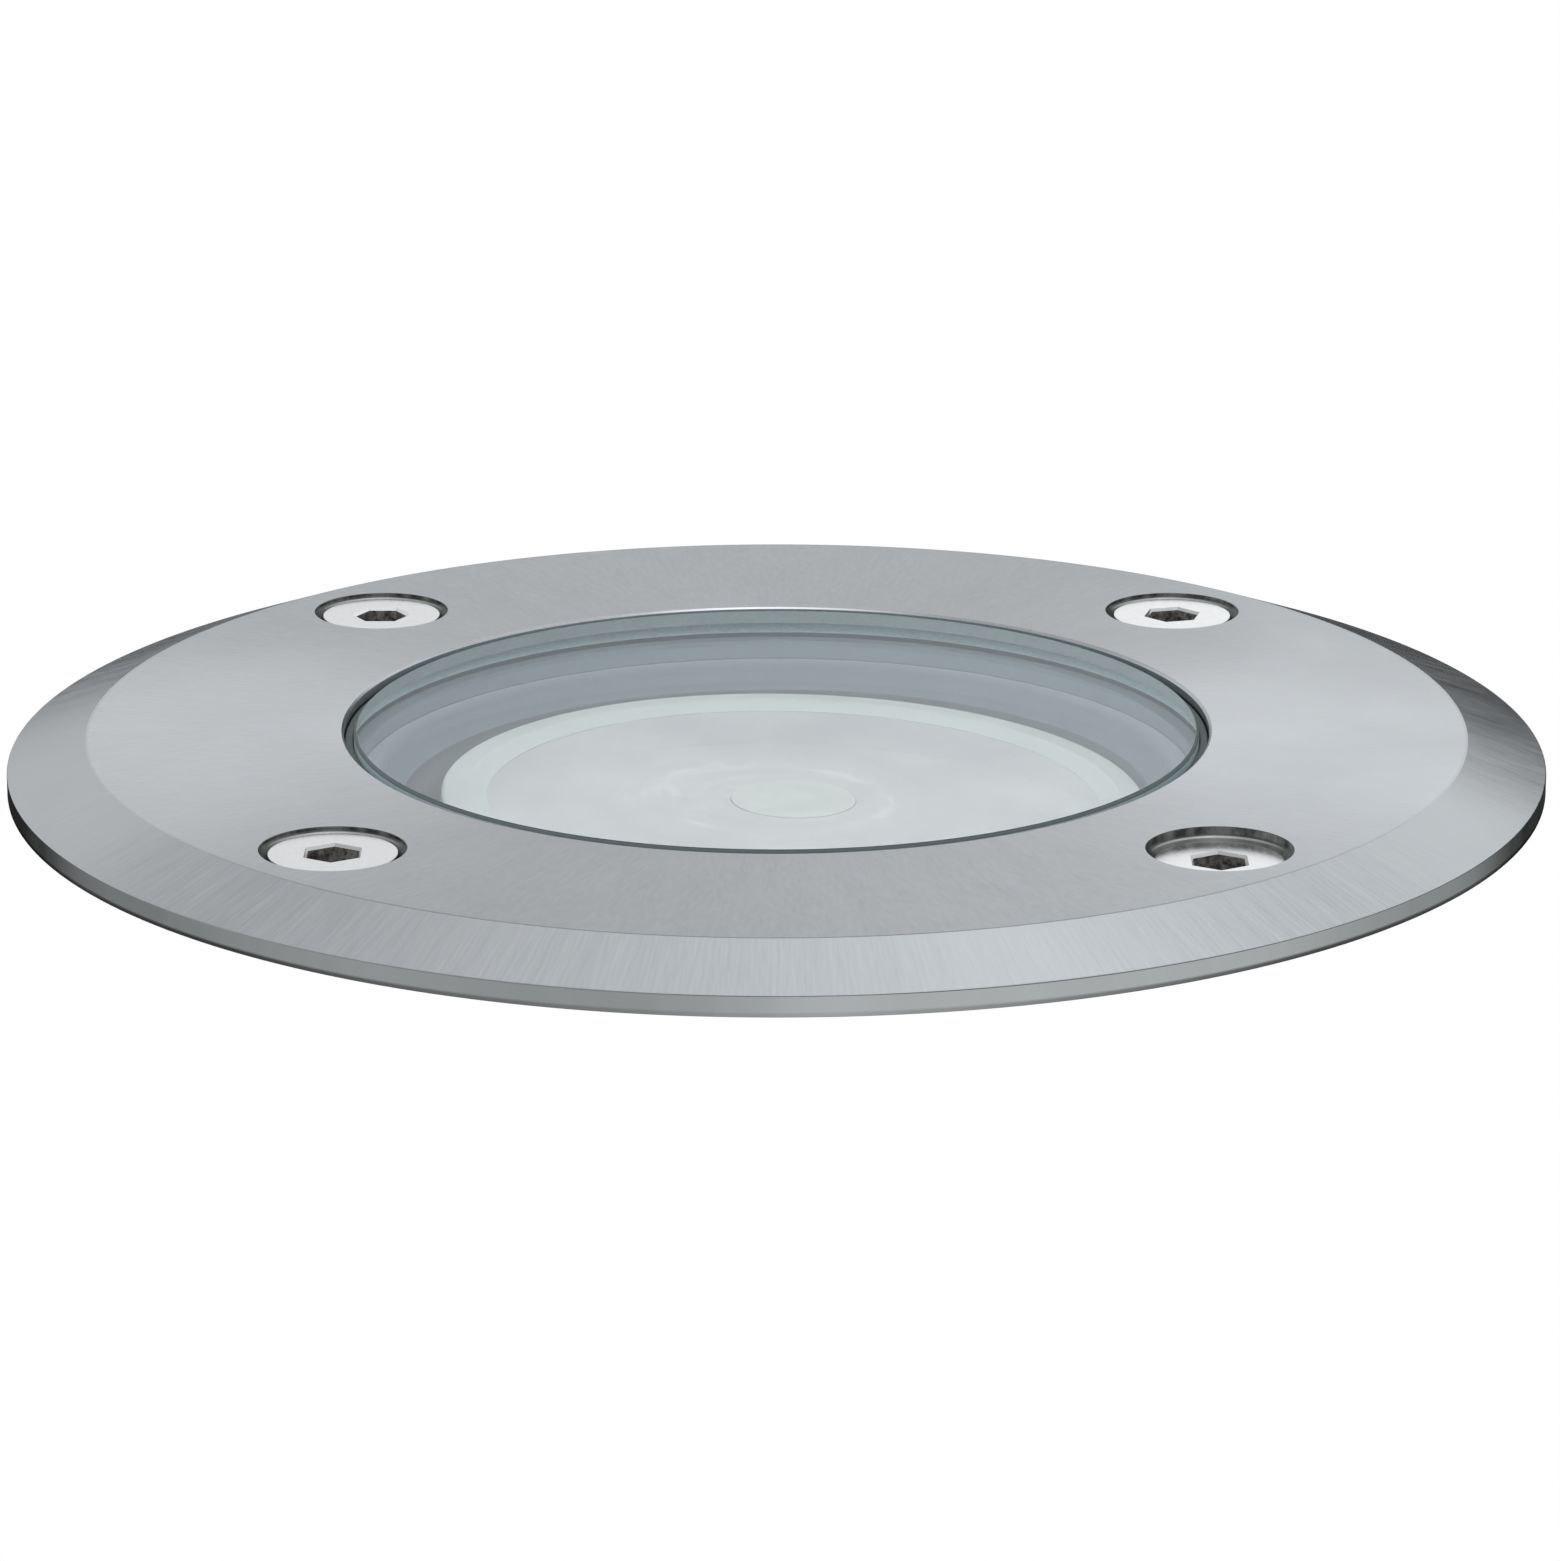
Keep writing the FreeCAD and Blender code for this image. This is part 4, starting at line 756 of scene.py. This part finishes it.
def make_cover_ring():
    ring = lathe("cover_ring_steel", softened(ring_profile(), EDGE_ROUND))
    cutters = []
    for corner, (across, forward, _, drop) in COVER_SCREWS.items():
        cutter = lathe(f"{corner}_sink", sink_profile(drop), SMALL_ROUND_STEPS)
        cutter.location = (across * SCREW_OFFSET, forward * SCREW_OFFSET, 0)
        cutters.append(cutter)
    carve(ring, cutters)
    coat(ring, FLAT_STEEL, BEVEL_STEEL, RIM_STEEL, SINK_WALL_SHADED, SINK_CONE_SHADED)
    bevel, rim, wall, cone = 1, 2, 3, 4
    for face in ring.data.polygons:
        radius = math.hypot(face.center.x, face.center.y)
        foot = radius > RIM_RADIUS - EDGE_ROUND and face.center.z < EDGE_ROUND
        upright = radius > RIM_RADIUS - EDGE_ROUND / 2 and face.normal.z < RIM_RISE
        if in_sink(face.center):
            face.material_index = wall if abs(face.normal.z) < WALL_RISE else cone
        elif foot or upright:
            face.material_index = rim
        elif radius > BEVEL_TOP_RADIUS or radius < OPENING_RADIUS + OPENING_BREAK:
            face.material_index = bevel
    dress(ring, "cover", ["cover_ring"], RING_SHARP_ANGLE)


def make_cover_screw(corner, across, forward, turn, drop):
    """Countersunk screw with a chamfered hex socket and a threaded shank."""
    top = COVER_HEIGHT - HEAD_RECESS - drop
    neck = top - HEAD_LAND - HEAD_RADIUS + SCREW_RADIUS
    core = SCREW_RADIUS - THREAD_DEPTH
    head = lathe(f"{corner}_head", softened([
        (0, neck - CORE_LENGTH),
        (core, neck - CORE_LENGTH),
        (SCREW_RADIUS, neck),
        (HEAD_RADIUS, top - HEAD_LAND),
        (HEAD_RADIUS, top),
        (0, top),
    ], HEAD_ROUND), SMALL_ROUND_STEPS)
    turn = math.radians(turn)
    floor = top - SOCKET_DEPTH
    flat = SOCKET_FLATS / 2
    point = SOCKET_FLATS / math.sqrt(3)
    carve(head, [
        hexagon(f"{corner}_hex", [
            (0, floor),
            (point, floor),
            (point, top + CUT_OVER),
            (0, top + CUT_OVER),
        ], turn),
        hexagon(f"{corner}_hex_edge", [
            (0, top - SOCKET_EDGE),
            (point, top - SOCKET_EDGE),
            (point + 2 * SOCKET_EDGE, top + SOCKET_EDGE),
            (0, top + SOCKET_EDGE),
        ], turn),
        lathe(f"{corner}_drill", [
            (0, floor - DRILL_DEPTH),
            (flat * DRILL_SHARE, floor + DRILL_OVERLAP),
            (0, floor + DRILL_OVERLAP),
        ], SMALL_ROUND_STEPS),
    ])
    ends = (top - SCREW_LENGTH, neck - THREAD_DROP)
    rod = threaded_rod(f"{corner}_rod", SCREW_RADIUS, THREAD_DEPTH, THREAD_PITCH, *ends)
    screw = joined(f"socket_screw_{corner}", [head, rod])
    coat(screw, SCREW, SOCKET_SHADE_AND_DIRT)
    for face in screw.data.polygons:
        height, rise = face.center.z, face.normal.z
        inside = math.hypot(face.center.x, face.center.y) < flat * SOCKET_SHARE
        chamfer = CHAMFER_RISE[0] < rise < CHAMFER_RISE[1] and height > top - SOCKET_EDGE
        if inside and not chamfer and floor - CUT_OVER < height < top - SOCKET_DROP:
            face.material_index = 1
    screw.data.transform(Matrix.Translation((across * SCREW_OFFSET, forward * SCREW_OFFSET, 0)))
    dress(screw, f"screw_{corner}", [f"cover_screw_{corner}"], SCREW_SHARP_ANGLE)


def make_glass():
    """Clear glass with a ground side, and a ground seat under its edge, outside the trim ring. Painted
    shade darkens the ground top edge, and painted light lightens the seat.
    """
    profile = softened([
        (0, GLASS_BOTTOM),
        (SHOULDER_RADIUS - SHOULDER_BREAK, GLASS_BOTTOM),
        (SHOULDER_RADIUS, GLASS_BOTTOM + SHOULDER_BREAK),
        (SHOULDER_RADIUS, SHOULDER_TOP - SHOULDER_BREAK),
        (SHOULDER_RADIUS - SHOULDER_BREAK, SHOULDER_TOP),
        (GLASS_RADIUS, SHOULDER_TOP),
        (GLASS_RADIUS, GLASS_TOP - GLASS_CHAMFER),
        (GLASS_RADIUS - GLASS_CHAMFER, GLASS_TOP),
        (0, GLASS_TOP),
    ], GLASS_ROUND)
    profile.insert(1, (TRIM_OUTER, GLASS_BOTTOM))
    glass = lathe("clear_lens", profile)
    coat(glass, GLASS, GROUND_GLASS, GLASS_EDGE_SHADED, GLASS_SEAT_PAINTED_LIGHT)
    ground, edge, seat = 1, 2, 3
    for face in glass.data.polygons:
        height = face.center.z
        if math.hypot(face.center.x, face.center.y) > GLASS_RADIUS - GLASS_CHAMFER * GROUND_SHARE:
            # above the drop the ground edge takes painted shade
            face.material_index = ground if height < GLASS_TOP - GLASS_CHAMFER * GROUND_DROP else edge
            # the seat under the edge takes painted light
            if height < GLASS_BOTTOM + SEAL_GAP:
                face.material_index = seat
    dress(glass, "glass", ["glass_lens"])


def make_gaskets():
    """The upper gasket with its lip in the gap round the glass, and the lower one under the glass."""
    upper = lathe("upper_seal", softened([
        (LIP_INNER, SHOULDER_TOP + SEAL_GAP),
        (GASKET_OUTER, SHOULDER_TOP + SEAL_GAP),
        (GASKET_OUTER, 0),
        (LIP_OUTER, 0),
        (LIP_OUTER, LIP_TOP),
        (LIP_INNER, LIP_TOP),
    ], LIP_ROUND))
    coat(upper, LIP)
    dress(upper, "cover", ["upper_glass_gasket"])
    lower = lathe("lower_seal", softened([
        (GASKET_INNER, GLASS_BOTTOM - LOWER_GASKET),
        (GASKET_OUTER, GLASS_BOTTOM - LOWER_GASKET),
        (GASKET_OUTER, GLASS_BOTTOM - SEAL_GAP),
        (GASKET_INNER, GLASS_BOTTOM - SEAL_GAP),
    ], LOWER_GASKET_ROUND))
    coat(lower, SILICONE)
    dress(lower, "housing", ["lower_glass_gasket"])


def make_trim_ring():
    top = GLASS_BOTTOM - TRIM_TOP_GAP
    trim = lathe("trim_wall", softened([
        (TRIM_INNER, TRIM_BOTTOM),
        (TRIM_OUTER, TRIM_BOTTOM),
        (TRIM_OUTER, top),
        (TRIM_OUTER - TRIM_LIP, top),
        (TRIM_INNER, top - TRIM_SLOPE),
    ], TRIM_ROUND))
    coat(trim, TRIM)
    dress(trim, "housing", ["trim_ring"])


def make_lamp_piece(name, profile, steps, material, node):
    """A lathed piece of the lamp's face, which leans with the lamp."""
    piece = lathe(name, profile, steps)
    piece.data.transform(Matrix.Translation((0, 0, LAMP_BASE)) @ Matrix.Rotation(LAMP_LEAN, 4, "Y"))
    coat(piece, material)
    dress(piece, "lamp", [node])


def make_lamp_face():
    """Rim, opal face and the round spot in its middle, with heights from the base of the lamp."""
    bore = LAMP_RADIUS - BEZEL_WIDTH
    diffuser = bore + DIFFUSER_HOLD
    low = LAMP_LENGTH - BEZEL_HEIGHT
    top = LAMP_LENGTH - BEZEL_LIP
    recess = top - SPOT_DEPTH
    make_lamp_piece("lamp_rim_ring", softened([
        (diffuser + DIFFUSER_GAP, low),
        (LAMP_RADIUS, low),
        (LAMP_RADIUS, LAMP_LENGTH),
        (bore + BEZEL_SLOPE, LAMP_LENGTH),
        (bore, top + BEZEL_EDGE),
        (bore, top),
        (diffuser + DIFFUSER_GAP, top),
    ], BEZEL_ROUND), ROUND_STEPS, BEZEL, "lamp_bezel")
    make_lamp_piece("opal_face", softened([
        (0, low),
        (diffuser, low),
        (diffuser, top),
        (SPOT_RADIUS + SPOT_GAP, top),
        (SPOT_RADIUS + SPOT_GAP, recess),
        (0, recess),
    ], DIFFUSER_ROUND), ROUND_STEPS, OPAL, "lamp_diffuser")
    make_lamp_piece("opal_spot", softened([
        (0, recess),
        (SPOT_RADIUS, recess),
        (SPOT_RADIUS, top + SPOT_RISE),
        (0, top + SPOT_RISE),
    ], SPOT_ROUND), SMALL_ROUND_STEPS, OPAL_SPOT, "lamp_centre_disc")


KEPT_NODES = {
    "mounting_sleeve": SLEEVE,
    "housing_flange": CAST,
    "housing_can": CAST,
    "lamp_cup": CUP,
    "lamp_light_board": BOARD,
    "lamp_emitter": PHOSPHOR,
    "lamp_driver_board": CIRCUIT,
    "lamp_base": BASE,
    "lamp_pin_1": NICKEL,
    "lamp_pin_2": NICKEL,
    "lamp_holder": CERAMIC,
    "holder_contact_1": BRASS,
    "holder_contact_2": BRASS,
    "holder_bracket": ZINC,
    "bracket_screw_1": ZINC,
    "bracket_screw_2": ZINC,
    "terminal_block": BLOCK,
    "terminal_contact_live": BRASS,
    "terminal_contact_neutral": BRASS,
    "terminal_contact_earth": BRASS,
    "live_lead": BROWN,
    "neutral_lead": BLUE,
    "earth_lead": GREEN,
    "earth_tag": ZINC,
    "earth_screw": ZINC,
    "gland_body": NYLON,
    "gland_cap": NYLON,
    "gland_locknut": NYLON,
    "gland_washer": RUBBER,
    "gland_seal": RUBBER,
}
KEPT_NODES.update({f"screw_insert_{corner}": BRASS for corner in COVER_SCREWS})
KEPT_NODES.update({f"screw_retainer_{corner}": WASHER for corner in COVER_SCREWS})


def paint_kept_nodes():
    """Give the CAD nodes that no piece replaces their materials."""
    for name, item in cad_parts.items():
        if item.hide_render:
            continue
        for slot in item.material_slots:
            slot.material = KEPT_NODES[name]


# ---------------------------------------------------------------- stage

# Steps of the light, by the direction that it comes from along an axis: where each step starts and
# ends, from -1 to 1, and its level before and after
# - height where the backdrop starts in reflections, by x, and how it rises there, by z above it
EDGE_LEFT = (-0.40, -0.12, -0.03, 0.135)
EDGE_RIGHT = (0.10, 0.34, 0.0, 0.17)
EDGE_RISE = (-0.10, 0.10, 0.02, 1.0)
# - its bands over the middle and over the sides, by z, and where the sides start, by x
MIDDLE_BANDS = ((0.33, 0.52, 1.0, 0.1), (0.54, 0.74, 0.0, 0.68))
SIDE_BANDS = ((0.28, 0.42, 0.86, 0.96), (0.42, 0.64, 0.0, -0.38), (0.66, 0.76, 0.0, 0.2))
SIDES_START = (0.12, 0.28, 0.0, 1.0)
# - its fading towards the front, by y, and the bright patch overhead, by z and by y
FRONT_FADE = (-0.5, 0.5, 0.55, 1.0)
PATCH_RISE = (0.88, 0.97, 0.0, 2.8)
PATCH_FRONT = (-0.28, -0.08, 1.0, 0.0)
# - its light from below, by y and by z, and its levels from left to right, by x
LOWER_FADES = ((-0.45, 0.5, 0.62, 0.34), (0.5, 0.74, 1.0, 0.0))
LOWER_START = (-0.12, 0.0, 1.0, 0.0)
RIGHT_LEVELS = ((-0.06, 0.14, 1.0, 1.36), (0.15, 0.30, 1.0, 0.88), (-0.28, -0.10, 0.83, 1.0))
# - the plain light: more from above, from the left and from the back, but not from low behind
PLAIN_ABOVE = (-0.1, 0.5, 0.35, 1.0)
PLAIN_LEFT = (-0.9, 0.9, 1.25, 0.75)
PLAIN_BACK = (-0.9, 0.3, 1.02, 1.45)
PLAIN_BEHIND = (0.78, 0.95, 1.0, 0.62)
# The share of the backdrop that the glass mirrors, and the colour and strength of all this light
GLASS_MIRROR = 0.58
STUDIO_COLOUR = (0.965, 0.985, 1.0, 1)
STUDIO_STRENGTH = 0.95


def floor_material():
    """Pale floor that is seen from above only, so that low views show what is set in the ground."""
    material = bpy.data.materials.new("pale_floor")
    material.use_nodes = True
    graph = Graph(material.node_tree)
    graph.tree.nodes.remove(graph.tree.nodes["Principled BSDF"])
    matt = graph.add("ShaderNodeBsdfDiffuse", {"Color": grey(0.9)})
    white = graph.add("ShaderNodeEmission")
    clear = graph.add("ShaderNodeBsdfTransparent")
    seen = graph.add("ShaderNodeLightPath").outputs["Is Camera Ray"]
    under = graph.add("ShaderNodeNewGeometry").outputs["Backfacing"]
    floor = graph.mix_shaders(under, graph.mix_shaders(seen, matt, white), clear)
    graph.tree.links.new(floor.outputs[0], graph.tree.nodes["Material Output"].inputs["Surface"])
    return material


def make_floor():
    """Flat ground with a round hole for the light."""
    data = bmesh.new()
    inner = add_ring(data, FLOOR_HOLE, -FLOOR_DROP, ROUND_STEPS)
    outer = add_ring(data, FLOOR_SIZE, -FLOOR_DROP, ROUND_STEPS)
    for k in range(ROUND_STEPS):
        n = (k + 1) % ROUND_STEPS
        data.faces.new((inner[k], outer[k], outer[n], inner[n]))
    floor = object_from("ground", data)
    coat(floor, floor_material())
    floor.visible_glossy = False


def mirrored_light(sky, x, y, z):
    """Level of the backdrop that metal and glass mirror, which is brighter on the right."""
    edge = sky.total(sky.span(x, *EDGE_LEFT), sky.span(x, *EDGE_RIGHT))
    rise = sky.span(sky.maths("SUBTRACT", z, edge), *EDGE_RISE)
    middle = sky.total(*(sky.span(z, *band) for band in MIDDLE_BANDS))
    sides = sky.total(*(sky.span(z, *band) for band in SIDE_BANDS))
    bands = sky.between(sky.span(sky.maths("ABSOLUTE", x), *SIDES_START), middle, sides)
    patch = sky.product(sky.span(z, *PATCH_RISE), sky.span(y, *PATCH_FRONT))
    front = sky.product(sky.span(y, *FRONT_FADE), sky.total(1.0, patch))
    upper = sky.product(sky.product(rise, bands), front)
    lower = sky.product(*(sky.span(y, *fade) for fade in LOWER_FADES), sky.span(z, *LOWER_START))
    right = sky.product(*(sky.span(x, *level) for level in RIGHT_LEVELS))
    return sky.product(sky.total(upper, lower), right)


def plain_light(sky, x, y, z):
    """Level of the soft light on surfaces that don't mirror."""
    steps = (z, PLAIN_ABOVE), (x, PLAIN_LEFT), (y, PLAIN_BACK), (y, PLAIN_BEHIND)
    return sky.product(*(sky.span(axis, *step) for axis, step in steps))


def make_world():
    """White behind the object, and for its lighting a backdrop that fades upwards and forwards."""
    world = bpy.data.worlds.new("studio")
    bpy.context.scene.world = world
    world.use_nodes = True
    world.node_tree.nodes.clear()
    sky = Graph(world.node_tree, "SMOOTHSTEP")
    x, y, z = sky.axes(sky.add("ShaderNodeTexCoord").outputs["Generated"])
    paths = sky.add("ShaderNodeLightPath").outputs
    # the glass mirrors less of the backdrop, as if through a polarising filter
    glass = sky.span(paths["Is Singular Ray"], 0.0, 1.0, 1.0, GLASS_MIRROR)
    mirrored = sky.product(mirrored_light(sky, x, y, z), glass)
    mirror = sky.maths("SUBTRACT", paths["Is Glossy Ray"], paths["Is Transmission Ray"])
    level = sky.product(sky.between(mirror, plain_light(sky, x, y, z), mirrored), STUDIO_STRENGTH)
    studio = sky.add("ShaderNodeBackground", {"Color": STUDIO_COLOUR, "Strength": level})
    white = sky.add("ShaderNodeBackground", {"Color": grey(1.0), "Strength": 1.0})
    background = sky.mix_shaders(paths["Is Camera Ray"], studio, white)
    sky.add("ShaderNodeOutputWorld", {0: background.outputs[0]})


def aim(item, direction):
    item.rotation_euler = direction.to_track_quat("-Z", "Y").to_euler()


def make_light():
    light = bpy.data.lights.new("overhead", "AREA")
    light.shape = "DISK"
    light.size = LIGHT_SIZE
    light.energy = LIGHT_POWER
    item = new_object("overhead", light)
    item.location = LIGHT_PLACE
    item.visible_glossy = False
    aim(item, -LIGHT_PLACE)


def make_camera():
    camera = bpy.data.cameras.new("camera")
    camera.sensor_width = SENSOR
    camera.lens = FOCAL_PIXELS * SENSOR / FRAME_PIXELS
    camera.clip_start = CAMERA_CLIP
    item = new_object("camera", camera)
    back = Vector((0, -math.cos(CAMERA_ELEVATION), math.sin(CAMERA_ELEVATION)))
    item.location = CAMERA_AIM + back * CAMERA_DISTANCE
    aim(item, -back)
    bpy.context.scene.camera = item


make_cover_ring()
for corner, (across, forward, turn, drop) in COVER_SCREWS.items():
    make_cover_screw(corner, across, forward, turn, drop)
make_glass()
make_gaskets()
make_trim_ring()
make_lamp_face()
paint_kept_nodes()
make_floor()
make_world()
make_light()
make_camera()
bpy.context.scene.view_settings.view_transform = "Standard"
